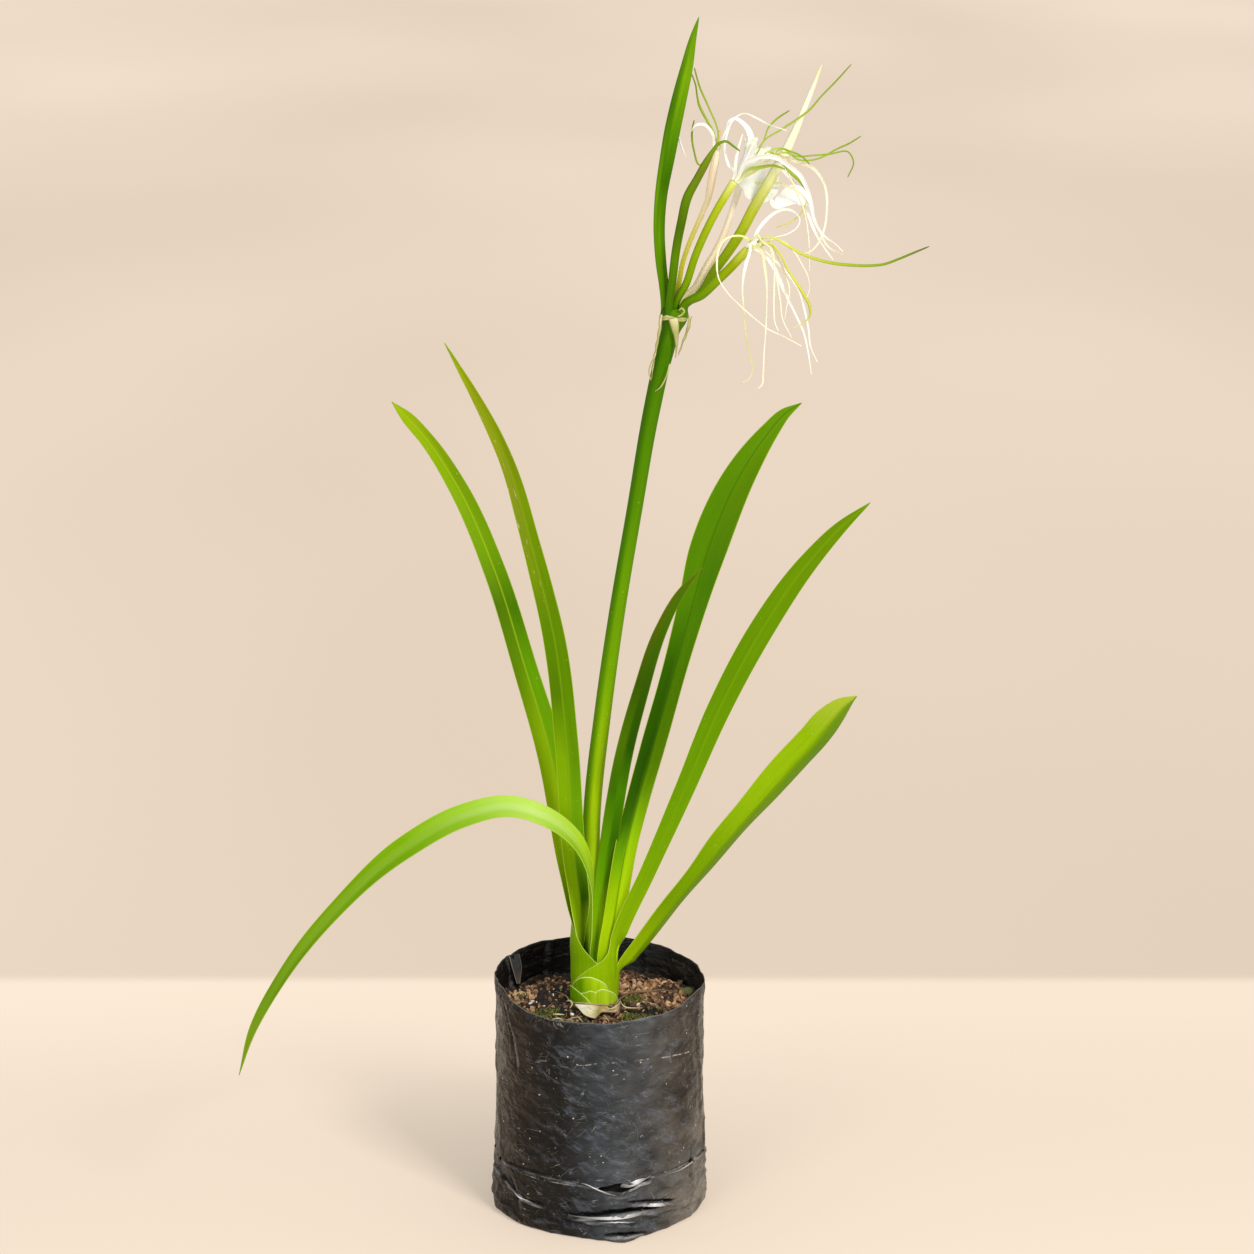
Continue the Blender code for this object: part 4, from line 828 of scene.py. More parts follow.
# Tepals: the angle of the foot around the mouth, the finish, and rows of x, y, z, width and turn.
TEPALS = {
    "left_flower_tepal": (180, "white", """
        85 40 836 3 0, 78 38 843 3 20, 72 36 842 2.4 30, 69 35 838 1 30"""),
    "upper_flower_tepal_1": (100, "white", """
        108 14 822 5 0, 112.9 15 834 7 10, 110.4 15 841.9 6.2 30, 106.3 14 846.7 4.8 40,
        100.6 13 850 3.6 40, 96.6 12 848.4 2.6 40, 94.4 11 842 1.8 40, 91.3 10 834 0.9 40"""),
    "upper_flower_tepal_2": (170, "white", """
        96 0 818 2.6 0, 93 -1 831 2.2 0, 95 -2 842 2 10, 98 -3 850 2 20, 106 -4 856 2 30,
        116 -6 853 1.8 30, 126 -7 848 1.6 30, 138 -8 844 0.9 30"""),
    "upper_flower_tepal_3": (222, "white", """
        101 -4 819 3 0, 102.5 -6.5 829 2.6 0, 106 -9 842 0.9 0"""),
    "upper_flower_tepal_4": (270, "white", """
        108 -9 820 4.8 10, 118 -17 826 5.6 24, 131 -22 826 6 30, 140 -24 820 5.6 30,
        148 -25 813 5 28, 153 -26 803 4.4 25, 156 -26 792 3.8 22, 159 -26 779 3 20,
        165 -25 770 2.2 18, 174 -24 763 1.6 16, 180 -23 757 0.9 16"""),
    "upper_flower_tepal_5": (40, "cream", """
        114 14 810 3.4 10, 130 17 821.5 4 20, 148 15 818 4 20, 160 12 813 3.4 16,
        166 10 805 2.8 14, 169 8 794 2.4 12, 169 6 782 2.2 10, 167 4 769 2 10, 163 2 760 1.8 10,
        156 1 753 1.4 10, 150 0 752 0.9 10"""),
    "upper_flower_tepal_6": (318, "green_strap", """
        110 -4 814.5 4 10, 119 -9 817.5 4.4 20, 129 -12 819 3.6 24, 137 -14 816.5 1.2 24"""),
    "back_flower_tepal_1": (60, "white", """
        118 58 806 4 10, 134 62 809 4.4 20, 147 60 797 4.4 20, 156 56 778 3.6 16,
        162 52 763 2.8 14, 168 48 752 2 12, 177 45 740 0.9 12"""),
    "back_flower_tepal_2": (0, "cream", """
        116 40 799 3.2 10, 132 34 800 3.6 20, 150 30 793 3 20, 158 29 782 2.6 16,
        164 28 767 2.2 14, 172 28 753 1.6 12, 183 28 747 0.9 12"""),
    "lower_flower_tepal_1": (215, "white_to_green", """
        111.5 -28 759 3.2 10, 108.5 -32 750 3.8 0, 106 -32 734 2 0, 107 -32 717 1.4 0,
        109 -32 697 1.4 0, 112 -32 681 1.4 0, 114 -32 671 1.3 0, 111 -32 664 1.2 0,
        106 -32 661 0.9 0"""),
    "lower_flower_tepal_2": (265, "cream", """
        119 -29 760 2.4 0, 122 -29 748 3 0, 124 -28 732 2.4 0, 124 -27 713 1.6 0,
        123.5 -26 698 1.4 0, 122.5 -25 681 1.4 0, 122 -24 667 1.8 0, 121 -24 658 1.8 0,
        118 -24 655 0.9 0"""),
    "lower_flower_tepal_3": (320, "white", """
        122 -20 754 3.6 0, 128 -17 747 4.6 0, 133 -15 737 5 0, 136.5 -14 729 4.2 0,
        141 -14 719 2.8 0, 146 -14 709 2.2 0, 152 -15 696 2 0, 155 -16 684 1.6 0,
        158 -18 665 0.9 0"""),
    "lower_flower_tepal_4": (5, "white", """
        121 -12 757 2.6 0, 130 -8 749 2.6 0, 141 -5 737 2.2 0, 149 -4 724 1.8 0, 153 -4 711 2.2 0,
        156 -5 697 2 0, 158 -6 683 1.6 0, 163 -7 672 0.9 0"""),
    "lower_flower_tepal_5": (80, "white", """
        116 -13 768 3.6 0, 123 -9 778 4 10, 132 -6 784.5 4 20, 139 -5 786 3.4 30,
        145 -6 784 2.6 30, 148.5 -8 779 1.8 20, 147 -10 774 1.4 10, 141 -12 769.5 1.2 10,
        130 -14 766.5 0.9 10"""),
    "lower_flower_tepal_6": (150, "cream", """
        108 -24 768 2.6 0, 100 -30 770 2.4 10, 93 -34 768 2.2 10, 88.5 -36 761 2.2 0,
        87 -37 751 2.2 0, 88 -37 741 1.6 0, 96 -37 728 1.2 0, 106 -36.5 718 1.2 0,
        115 -36 710 1.2 0, 125 -35 702 1.2 0, 135 -34 697 1.2 0, 150 -33 689 0.9 0"""),
}

# Stamens and styles: the angle of the foot on the cup's rim, the finish, and rows of x, y, z and
# radius.  A style has no angle: it rises from the bottom of the cup.
FILAMENTS = {
    "left_flower_stamen_1": (250, "filament_green", """
        89 38 838 0.8, 82 34 856 0.9, 75 29.5 872 0.9, 71 26 886 0.7"""),
    "left_flower_stamen_2": (150, "filament_green", """
        86.5 46 835 0.8, 81 46 845 1.2, 75 45 857 1.2, 73.5 44 864 0.9, 72.5 42 871 0.8,
        69 40 881 0.6"""),
    "left_flower_stamen_3": (45, "filament_green", """
        88 50 826 0.7, 82 52 815 0.7, 76 52 811 0.9, 71.5 51 822 0.9, 70 50 836 0.9,
        71.5 49 845 0.6"""),
    "upper_flower_stamen_1": (90, "filament_green", """
        126 14 844 0.8, 132 15 850 0.9, 141 15 856 0.6"""),
    "upper_flower_stamen_2": (330, "filament_green", """
        133 -4 830 0.8, 142 -8 828.5 0.9, 150 -12 825 0.8, 155 -14 820 0.5"""),
    "upper_flower_stamen_3": (10, "filament_green", """
        136 4 826.5 0.8, 147 1 824 0.8, 157 -2 825 0.8, 169 -6 826.5 0.8, 184 -10 828 0.7,
        187 -11 822 0.7, 183 -11 810 0.5"""),
    "upper_flower_stamen_4": (50, "filament_green", """
        137 12 828 0.8, 148 10 820.5 0.8, 158 11 820 0.8, 166 14 822 0.8, 176 18 827 0.8,
        186 22 831 0.8, 195 26 836 0.5"""),
    "upper_flower_stamen_5": (290, "filament_green", """
        129 -6 827 0.9, 134.5 -8 822 1.3, 141 -13 814 1.4, 148 -17 808 1.4, 153 -19 801 1.2,
        156 -19 790 0.8"""),
    "upper_flower_stamen_6": (30, "filament_cream", """
        136 9.5 822 0.7, 142 9 807 0.7, 147 10 796 0.7, 152 11 784 0.7, 154 12 776 0.6,
        156 12 763 0.6, 157 12 737 0.45"""),
    "upper_flower_style": (None, "filament_green", """
        121 2 834 0.7, 135 8 843 0.9, 147 14 850 0.9, 156 19 856 0.9, 164 21 865 0.8,
        176 24 877 0.8, 187 26 889 0.5"""),
    "lower_flower_stamen_1": (200, "filament_cream", """
        119.5 -26 766 0.7, 127 -33 760 0.7, 129 -34 747 0.8, 129 -34 732 0.8, 129 -33 716 0.7,
        130 -32 706 0.6, 133 -32 699 0.4"""),
    "lower_flower_stamen_2": (284, "filament_cream", """
        124 -27 763 0.7, 128 -25 752 0.7, 131.5 -24 736 0.7, 134 -23 721 0.7, 136 -22 707 0.6,
        143 -21 693 0.4"""),
    "lower_flower_stamen_3": (318, "filament_yellow", """
        126 -24.5 763.5 0.8, 134 -23 755 0.8, 140 -22 743 0.9, 146 -21 734 1.1, 151.5 -20 725 1.3,
        156 -20 716 1.1, 156 -21 709 0.8, 152 -24 705 0.6, 143 -27 701 0.4"""),
    "lower_flower_stamen_4": (20, "filament_cream", """
        128 -20 766 0.8, 136 -17 763.5 0.9, 144 -13 756 0.8, 149.5 -10 747 0.7, 155 -9 736 0.6,
        156 -9 727 0.5, 153 -9 718 0.4"""),
    "lower_flower_stamen_5": (350, "filament_cream", """
        127 -20 762 0.7, 133 -19 750.5 0.7, 138 -18 739 0.7, 141 -18.5 728 0.6, 139 -19 716 0.5,
        137.5 -18.5 706 0.4"""),
    "lower_flower_style": (None, "style", """
        121 -24 767.5 0.7, 128 -26 768 0.8, 139 -29 762.5 1, 148 -31 757.5 1.1, 159 -33 753.5 1.2,
        170 -35 751 1.2, 186 -37 749.5 1.2, 197 -39 749.5 1.1, 209 -41 751 1, 219 -43 755 0.9,
        230 -45 760 0.8, 241 -47 765 0.5"""),
}


def foot_rows(direction):
    """The two lowest rows of an umbel stalk, straight up from the scape's flat top."""
    x, y = UMBEL_CENTRE
    if direction is not None:
        x += UMBEL_RING * math.cos(math.radians(direction))
        y += UMBEL_RING * math.sin(math.radians(direction))
    return [(x, y, SCAPE_TOP - 2.0, 3.2), (x, y, SCAPE_TOP + 3.3, 3.0)]


def flower_of(name):
    return name.split("_flower")[0] + "_flower"


def mouth_frame(flower):
    """Where a flower opens at the end of its tube, and the three axes there."""
    place = numbers(UMBEL[flower + "_tube"][-1])[-1][:3]
    axis = np.array(OPENS_TOWARD[flower])
    axis = axis / np.linalg.norm(axis)
    east = np.cross([0.0, 1.0, 0.0], axis)
    east /= np.linalg.norm(east)
    return np.array(place), axis, east, np.cross(axis, east)


def ring_point(flower, radius, degrees, height):
    """A point around a flower's axis; direction 270 is the side toward the front."""
    place, axis, east, north = mouth_frame(flower)
    turn = math.radians(degrees)
    out = place + east * (radius * math.cos(turn)) + north * (radius * math.sin(turn))
    return out + axis * height


def add_scape(finishes):
    scape = add_tube("scape_stalk", numbers(SCAPE), finishes["scape"], 48, 220, round_tip=False,
                     ridges=10, ridge=0.02, squash=0.92)
    rides(scape, "stalk", "flower_scape")


def add_umbel(finishes):
    for name, (foot, finish, shape, rows) in UMBEL.items():
        rows = foot_rows(foot) + numbers(rows)
        piece = add_tube(name + "_body", rows, finishes[finish], 36, 130, **shape)
        rides(piece, "pale_bud" if name in ("pale_bud", "back_flower_tube") else "stalk", name)


def add_cups(finishes):
    """The membrane that joins the feet of the stamens: a fluted funnel with a toothed rim."""
    share = np.linspace(0.0, 1.0, 36)[:, None]
    angle = turns(144)[None]
    for flower, (length, foot, rim) in CUPS.items():
        place, axis, east, north = mouth_frame(flower)
        radius = foot + (rim - foot) * (0.55 * share + 0.45 * share**2.2)
        flutes = 0.35 * share * np.sin(17 * angle + 3 * share)
        radius = radius * (1.0 + 0.07 * share * np.cos(6 * angle)) + flutes
        teeth = 0.20 * np.abs(np.cos(3 * angle)) ** 3 + 0.03 * np.cos(13 * angle) - 0.08
        height = 0.7 + length * (share + teeth * share**6)
        wide, deep = radius * np.cos(angle), radius * np.sin(angle)
        rings = place + east * wide[:, :, None]
        rings = rings + north * deep[:, :, None] + axis * height[:, :, None]
        flat = np.ones(radius.shape)
        layers = {"across": flat * -1.0, "along": flat * share, "run": height, "wide": wide,
                  "deep": deep, "edge": (1.0 - share) * length * flat + 2.0}
        cup = sheet_piece(flower + "_corona", rings, 0.42 - 0.2 * share, layers,
                          finishes["white"], wrap=True)
        rides(cup, "petal", flower + "_cup")


def add_tepals(finishes):
    for name, (angle, finish, rows) in TEPALS.items():
        flower, rows = flower_of(name), numbers(rows)
        turn = rows[0][4]
        start = [(*ring_point(flower, 2.7, angle, -0.6), 2.6, turn),
                 (*ring_point(flower, 3.6, angle, 3.5), 3.2, turn)]
        slim = 0.6 if flower == "lower_flower" else 0.7  # drawn thinner than the CAD straps
        rows = [(x, y, z, wide * slim, turn) for x, y, z, wide, turn in start + rows]
        piece = add_blade(name + "_strap", rows, finishes[finish], 0.42, (0.3, 0.35), 130, 9,
                          wave=(0.25, 23.0))
        rides(piece, "petal", name)


def filament_start(name, angle):
    """The lowest rows of a stamen or style: out of the tube, up the cup's middle or off its rim."""
    flower = flower_of(name)
    length, _, rim = CUPS.get(flower, (0.0, 0.0, 0.0))
    if flower not in CUPS:
        steps = (1.6, 0.7, 0.5), (2.4, 3.5, 0.6)
    elif angle is None:
        steps = (0.0, 1.7, 0.35), (0.0, 5.0, 0.4), (0.0, length, 0.7)
    else:
        steps = ((rim - 0.2, length - 2.5, 0.4), (rim + 0.1, length + 1.3, 0.5),
                 (rim + 0.7, length + 3.5, 0.6))
    return [(*ring_point(flower, away, angle or 0.0, height), radius)
            for away, height, radius in steps]


def add_filaments(finishes):
    for name, (angle, finish, rows) in FILAMENTS.items():
        slim = 0.8 if finish == "filament_green" else 0.95  # drawn thinner than the CAD rods
        rows = [(x, y, z, radius * slim)
                for x, y, z, radius in filament_start(name, angle) + numbers(rows)]
        piece = add_tube(name + "_thread", rows, finishes[finish], 10, 90)
        rides(piece, "filament", name)


# Fine threads beside the ones above: finish, then rows of x, y, z, radius.
THREADS = {
    "faded_thread_1": ("pink_strand", """
        91 44 838 1, 87.5 43 824 1.3, 84 42 806 1.4, 81 41 788 1.2, 78 40 772 0.7"""),
    "faded_thread_2": ("filament_yellow", """
        132 18 769 0.35, 141 19 772 0.5, 149 22 777 0.5, 153.6 25.6 783 0.5,
        155.2 28.4 788 0.4"""),
    "faded_thread_3": ("white", "59 26 838 0.4, 61.5 27 829 0.6, 65 28 820 0.25"),
}
# The fading cup behind the upper flower: rows of x, y, z, width and turn.
MEMBRANES = {
    "faded_membrane_1": """
        102 33 800 1.5 -30, 105.5 34 801 16 -36, 112 36.5 799.5 30 -38, 119 39.5 798 34 -38,
        126 43 799 26 -38, 131.5 46 803 11 -36, 134.5 47.5 808 0.8 -30""",
    "faded_membrane_2": """
        126.4 35.8 791 1.5 -30, 132 37.5 783 6 -34, 139 40.5 786 13 -38, 147 43.5 789 17 -38,
        155 46.5 786 11 -36, 161 48.5 779 0.8 -30""",
}


def add_threads(finishes):
    for name, rows in MEMBRANES.items():
        piece = add_blade(name, numbers(rows), finishes["white"], 0.3, (0.16, 0.2), 90, 25,
                          wave=(0.35, 19.0))
        rides(piece, "petal")
    for name, (finish, rows) in THREADS.items():
        rides(add_tube(name, numbers(rows), finishes[finish], 10, 60), "filament")


# The dry bracts, rows of x, y, z, width and turn, and what curls off them, rows with a radius.
BRACTS = {
    "spathe_bract_front": """
        56 6.4 702.5 7.6 0, 57.2 6.4 696 6.2 0, 58.2 7 688 3.4 0, 58.4 8 680 1.4 0,
        57.6 8 672.5 0.5 0""",
    "spathe_bract_left": """
        47.3 9 705 3 -45, 46.6 9.8 696 3.2 -50, 44.2 10.4 682 2.6 -50, 41.5 10.8 668 2 -45,
        39.8 10.6 656 0.6 -30""",
    "spathe_bract_right": """
        68 10.6 704 3.6 50, 66.2 9.4 694 3 50, 63 9.2 685 2 48, 59.5 9 674 0.6 45""",
}
BRACT_CURLS = {
    "bract_curl_1": """
        59.5 6.4 704 0.5, 62 5.6 705.5 0.7, 64 5.4 708.5 0.7, 62 5 710.5 0.6, 60 5.4 709 0.3""",
    "bract_curl_2": "53.5 8 668 0.5, 51 7 659 0.6, 46.5 7.6 650.5 0.6, 42.4 11.7 646.2 0.3",
    "bract_curl_3": "43 9.4 676 0.4, 39.6 8.2 669 0.5, 37.8 8.4 661 0.5, 39.4 9.6 655 0.25",
}


def add_bracts(finishes):
    """Dry papery bracts that hang at the top of the scape, and the dry band they leave round it."""
    paper = finishes["bract"]
    for name, rows in BRACTS.items():
        piece = add_blade(name + "_paper", numbers(rows), paper, 0.4, (-0.35, -0.5), 70, 11,
                          wave=(0.35, 9.0), curl=0.5)
        rides(piece, "dry_bract", name)
    angle = turns(150)[None]
    share = np.linspace(0.0, 1.0, 9)[:, None]
    radius = 10.5 + 0.5 * np.sin(share * math.pi) + 0.3 * np.sin(5 * angle) - 0.5 * share
    height = (700.4 + 3.4 * share + 0.7 * np.sin(3 * angle + 1.0)
              + 0.35 * np.sin(11 * angle) * share)
    ring = np.stack([56.6 + radius * np.cos(angle), 18.0 + radius * np.sin(angle) * 0.94,
                     height], axis=-1)
    flat = np.ones(radius.shape)
    layers = {"across": flat, "along": flat * share, "edge": flat * NO_EDGE,
              "wide": ring[:, :, 0], "deep": ring[:, :, 1], "run": ring[:, :, 2]}
    rides(sheet_piece("spathe_scar_band", ring, 0.5, layers, paper, wrap=True), "dry_bract")
    for name, rows in BRACT_CURLS.items():
        rides(add_tube(name, numbers(rows), paper, 8, 40), "dry_bract")


# ---------------------------------------------------------------- bag

BAG_RADIUS = 81.0
BASE_EARS = (  # direction and spread in degrees, reach in millimetres
    (282.0, 15.0, 11.0), (101.0, 17.0, 6.0), (196.0, 28.0, 4.0), (0.0, 30.0, 2.0))
FILM = 0.5
HOLE_HEIGHT = 42.5
# Openings in the film: direction, half width and half height, and how uneven the lips are.
HOLES = ((180.0, 2.6, 2.3, 0.1), (200.0, 2.5, 2.2, 0.1), (0.0, 2.6, 2.3, 0.1),
         (100.0, 2.6, 2.3, 0.1), (279.3, 14.2, 3.3, 0.9))
HOLE_EASE = 3.5  # over how many millimetres the grid gives way around a hole
# The film stands out over the slit: direction and spread, height above it and spread, how far.
SLIT_BULGE = (280.0, 9.0, 3.0, 4.0, 1.2)
# The rows where the wall turns under, in degrees, and those of the base, as shares of its radius.
FOOT_BENDS = (12.0, 30.0, 48.0, 66.0, 84.0)
SOLE_SHARES = (0.92, 0.8, 0.6, 0.35, 0.12)
# The bag's grid: the film is loose above LOOSE_FROM, and HOLE_ROW is the row that the holes cut.
BAG_COLUMNS = 420
LOOSE_ROWS, WALL_ROWS, SLACK_ROWS, FOOT_ROWS = 18, 30, 12, 44
LOOSE_FROM = 150.0
HOLE_ROW = LOOSE_ROWS + WALL_ROWS + SLACK_ROWS

# Level folds: (direction, height) points, how deep, how wide, how far the film below stands out.
LEVEL_FOLDS = [(numbers(path), *sizes) for path, *sizes in (
    ("150 43, 180 43, 205 44.8, 216 47, 227 48.4, 241 49, 256 47, 268 43.5", 1.5, 0.9, 1.0),
    ("290 46.4, 303 47.8, 315 47.5, 330 47.2, 353 44.4, 380 44, 430 44, 510 43", 1.5, 0.9, 1.0),
    ("188 33, 200 33.2, 207 32, 218 26.6, 228 22.7, 238 22", 1.8, 1.0, 1.2),
    ("253 19, 265.7 20.8, 276 23.6, 286 24.4, 294 23.2, 302 20.4", 3.6, 1.7, 1.4),
    ("286 29.8, 297 28.3, 305 26, 314 22", 2.8, 1.2, 1.2),
    ("273 5.6, 280 7.4, 287 6.6, 295 3.4", 2.8, 1.2, 1.8),
    ("274 37, 281 35.5, 290 37.5", 0.9, 0.9, 0.9),
    ("286 41, 292 44.6, 299 45.4", 1.8, 0.9, 2.2),
    ("262 15.5, 272 17, 284 15, 292 12.6", 1.2, 1.2, 1.0),
    ("228 10, 245 13, 262 12, 270 9", 0.9, 1.6, 0.6),
    ("296 12, 310 14.5, 326 11, 340 8", 1.0, 1.5, 0.7),
    ("300 34, 314 32.5, 330 35", 0.7, 1.3, 0.5),
    ("60 22, 85 26, 101 24, 125 20, 150 17", 2.0, 1.6, 1.6),
    ("88 10, 100 12, 115 8", 1.8, 1.4, 1.2),
    ("254 140.1, 268 144, 284 144.9, 297 145, 312 142.1, 343 134.9", 0.35, 0.8, 0.25),
)]
# Upright folds: (height, direction) points, depth and width.
UPRIGHT_FOLDS = [(numbers(path), *sizes) for path, *sizes in (
    ("188 190, 186 192, 175 206, 159 211.5, 140 217, 126 219", 1.3, 1.7),
    ("172 203, 151 210, 138 211", 0.8, 1.3),
    ("188 176, 170 178, 140 184, 110 185", 0.8, 2.2),
    ("188 118, 168 120, 152 119", 1.6, 2.0),
    ("188 150, 170 146, 158 147", 1.8, 2.2),
    ("188 66, 170 63, 150 65", 1.0, 2.0),
    ("188 340, 150 338, 110 343, 80 342", 0.8, 2.4),
    ("60 333, 40 329, 22 331", 0.9, 2.0),
    ("72 352, 50 349, 30 352", 0.8, 1.8),
    ("96 193, 74 196, 60 201", 0.8, 1.6),
    ("38 213, 24 219, 12 221", 0.9, 1.8),
    ("188 318, 176 317, 160 321", 0.6, 1.8),
    ("188 236, 178 238, 164 236", 0.5, 1.6),
    ("30 140, 14 136, 4 138", 1.0, 2.0),
    ("34 40, 16 44, 4 42", 1.0, 2.0),
)]
# The crease that stands for the seam of the base: (direction, height).
SEAM = numbers("""
    150 43, 207 44.2, 256 44, 268 43, 292 46.4, 315 47.4, 355 45.5, 430 44, 510 43""")
# The cut edge: (direction, height).
RIM = numbers("""
    0 185, 18 183.6, 35 184.4, 51 185.5, 62 187, 74 188.6, 92 189, 109 189.2, 133 190, 143 188.8,
    158 187, 186 187.6, 205 186.4, 213 182.5, 226 177.8, 240 176.2, 264 176.8, 294 177.7,
    307 178.4, 319 180, 331 182, 342 184.6, 350 185.6, 360 185""")


def rim_height(angle):
    """Height of the cut edge: lower in front, with small waves."""
    level = 0.0
    for shift in (-4.0, -2.0, 0.0, 2.0, 4.0):
        level = level + np.interp((np.degrees(angle) + shift) % 360.0, *zip(*RIM)) / 5.0
    level = level + 0.22 * np.sin(9 * angle) + 0.22 * np.sin(23 * angle + 1.0)
    return level + 0.14 * np.sin(41 * angle)


def turn_between(degrees, middle):
    return (degrees - middle + 180.0) % 360.0 - 180.0


def wall_radius(angle, height):
    radius = BAG_RADIUS + 1.4 * np.exp(-((height - 45.0) / 45.0) ** 2)
    for middle, spread, reach in BASE_EARS:
        away = np.abs(turn_between(np.degrees(angle), middle)) / spread
        radius = radius + reach * np.exp(-(away**1.35) - (height / 26.0) ** 2)
    return radius


def waves_sum(angle, height, seed, count, around, period, slant=0.6):
    """Irregular ripples round the bag: whole numbers of turns, and a range of upright periods."""
    rng = np.random.default_rng(seed)
    total = np.zeros(np.broadcast(angle, height).shape)
    for _ in range(count):
        k = rng.integers(*around)
        m = 2 * math.pi / rng.uniform(*period) * rng.choice([-1.0, 1.0])
        bend = slant * np.sin(rng.integers(1, 5) * angle + rng.uniform(0, 6.3))
        total += np.sin(k * angle + m * height + bend + rng.uniform(0, 6.3))
    return total / math.sqrt(count)


def fold_line(path, value, period=None):
    """Where a fold runs at these values, and how fully it shows there (0 past its ends)."""
    x, y = np.array(path).T
    if period:
        value = (value - x[0] + 40.0) % period + x[0] - 40.0
    order = np.argsort(x)
    x, y = x[order], y[order]
    reach = 0.12 * (x[-1] - x[0])
    show = smooth_step(value, x[0] - reach, x[0] + reach)
    show = show * smooth_step(-value, -x[-1] - reach, -x[-1] + reach)
    return np.interp(value, x, y), show


def bag_relief(angle, height):
    """How far the film stands out from the plain wall, in millimetres."""
    loose = smooth_step(height, LOOSE_FROM, 182.0)
    low = smooth_step(-height, -60.0, -20.0)
    relief = 0.55 * waves_sum(angle, height, 3, 7, (2, 7), (60, 130))
    relief = relief + 0.30 * waves_sum(angle, height, 5, 10, (4, 14), (14, 34))
    relief = relief + (0.12 + 0.16 * low) * waves_sum(angle, height, 7, 12, (8, 26), (6, 12))
    crisp = 1.0 - np.abs(waves_sum(angle, height, 11, 6, (3, 12), (18, 46), 1.5))
    relief = relief + (0.4 + 0.9 * low) * np.maximum(crisp, 0.0) ** 3
    relief = relief + 0.8 * loose * waves_sum(angle, height, 13, 6, (5, 12), (150, 400))
    groove, lip = bag_creases(angle, height)
    return relief + lip - groove


def bag_creases(angle, height):
    """The depth of the creases and the height of the lips beside them, in millimetres."""
    degrees = np.degrees(angle)
    groove, lip = 0.0, 0.0
    for path, depth, width, rise in LEVEL_FOLDS:
        line, show = fold_line(path, degrees, 360.0)
        off = height - line
        groove = groove + show * depth * np.exp(-np.abs(off / width) ** 1.5)
        lip = lip + show * rise * np.exp(-((off + 2.1 * width) / (1.2 * width)) ** 2)
    for path, depth, width in UPRIGHT_FOLDS:
        line, show = fold_line(path, height)
        off = np.radians(turn_between(degrees, line)) * BAG_RADIUS
        groove = groove + show * depth * np.exp(-np.abs(off / width) ** 1.5)
        lip = lip + show * 0.8 * depth * np.exp(-((off - 2.2 * width) / (1.4 * width)) ** 2)
    return groove, lip


def fold_droop(angle, height):
    """How far the film above a deep crease hangs down over it, in millimetres."""
    droop = 0.0
    for path, depth, width, _ in LEVEL_FOLDS:
        line, show = fold_line(path, np.degrees(angle), 360.0)
        off = (height - line - 1.5 * width) / (1.1 * width)
        droop = droop + 0.42 * depth * show * np.exp(-off ** 2)
    return droop


def hole_gap(angle, hole):
    """How far a hole's upper and lower lips stand from its level, in each direction."""
    middle, half_width, half_height, uneven = hole
    off = np.radians(turn_between(np.degrees(angle), middle)) * BAG_RADIUS / half_width
    inside = np.clip(1.0 - off * off, 0.0, 1.0)
    power = 0.5 if uneven < 0.5 else 0.8
    upper = half_height * inside**power * (1.0 + 0.25 * uneven * np.sin(off * 4.0 + 1.0))
    lower = half_height * inside**power * (1.0 + 0.30 * uneven * np.sin(off * 5.0))
    return upper, lower


def bag_heights():
    """How near the loose rows are to the rim, as shares, and the heights of the rows under them."""
    loose = np.linspace(1.0, 0.0, LOOSE_ROWS, endpoint=False) ** 1.3
    return loose, np.concatenate([
        np.linspace(LOOSE_FROM, 60.0, WALL_ROWS, endpoint=False),
        np.linspace(60.0, HOLE_HEIGHT, SLACK_ROWS, endpoint=False),
        np.linspace(HOLE_HEIGHT, 6.0, FOOT_ROWS), [4.6]])


def bag_skin(inset):
    """The grid of one skin of the bag from the rim to the middle of the base, drawn in by inset."""
    angle = turns(BAG_COLUMNS)[None]
    loose, wall = bag_heights()
    rim = rim_height(angle)
    height = np.concatenate([LOOSE_FROM + loose[:, None] * (rim - LOOSE_FROM),
                             wall[:, None] + 0 * angle])
    for hole in HOLES:
        upper, lower = hole_gap(angle, hole)
        off = height - HOLE_HEIGHT
        height = height + upper * np.exp(-np.maximum(off, 0.0) / HOLE_EASE) * (off > -0.01)
        height = height - lower * np.exp(-np.maximum(-off, 0.0) / HOLE_EASE) * (off < -0.01)
    relief = bag_relief(angle, height) * smooth_step(height, 0.0, 7.0)
    height = height - fold_droop(angle, height)
    middle, spread, over, tall, reach = SLIT_BULGE
    aside = turn_between(np.degrees(angle), middle) / spread
    above = (height - HOLE_HEIGHT - over) / tall
    slit_bulge = reach * np.exp(-aside ** 2 - above ** 2)
    radius = wall_radius(angle, height) + relief + slit_bulge - inset
    bends = np.radians(FOOT_BENDS)[:, None]
    side = radius[-1:] - 2.5 * (1.0 - np.cos(bends))
    corner = 4.0 * (1.0 - np.sin(bends)) + 0 * angle
    shares = np.array(SOLE_SHARES)[:, None]
    sole = 0.25 + 0.25 * waves_sum(angle, shares * 60.0, 17, 6, (3, 9), (12, 30))
    radius = np.concatenate([radius, side, side[-1:] * shares])
    height = np.concatenate([height, corner, np.clip(sole, 0.0, 1.0)])
    height = height + inset * np.clip(1.0 - height / 40.0, 0.0, 1.0)
    return upright_ring(radius, angle, height)


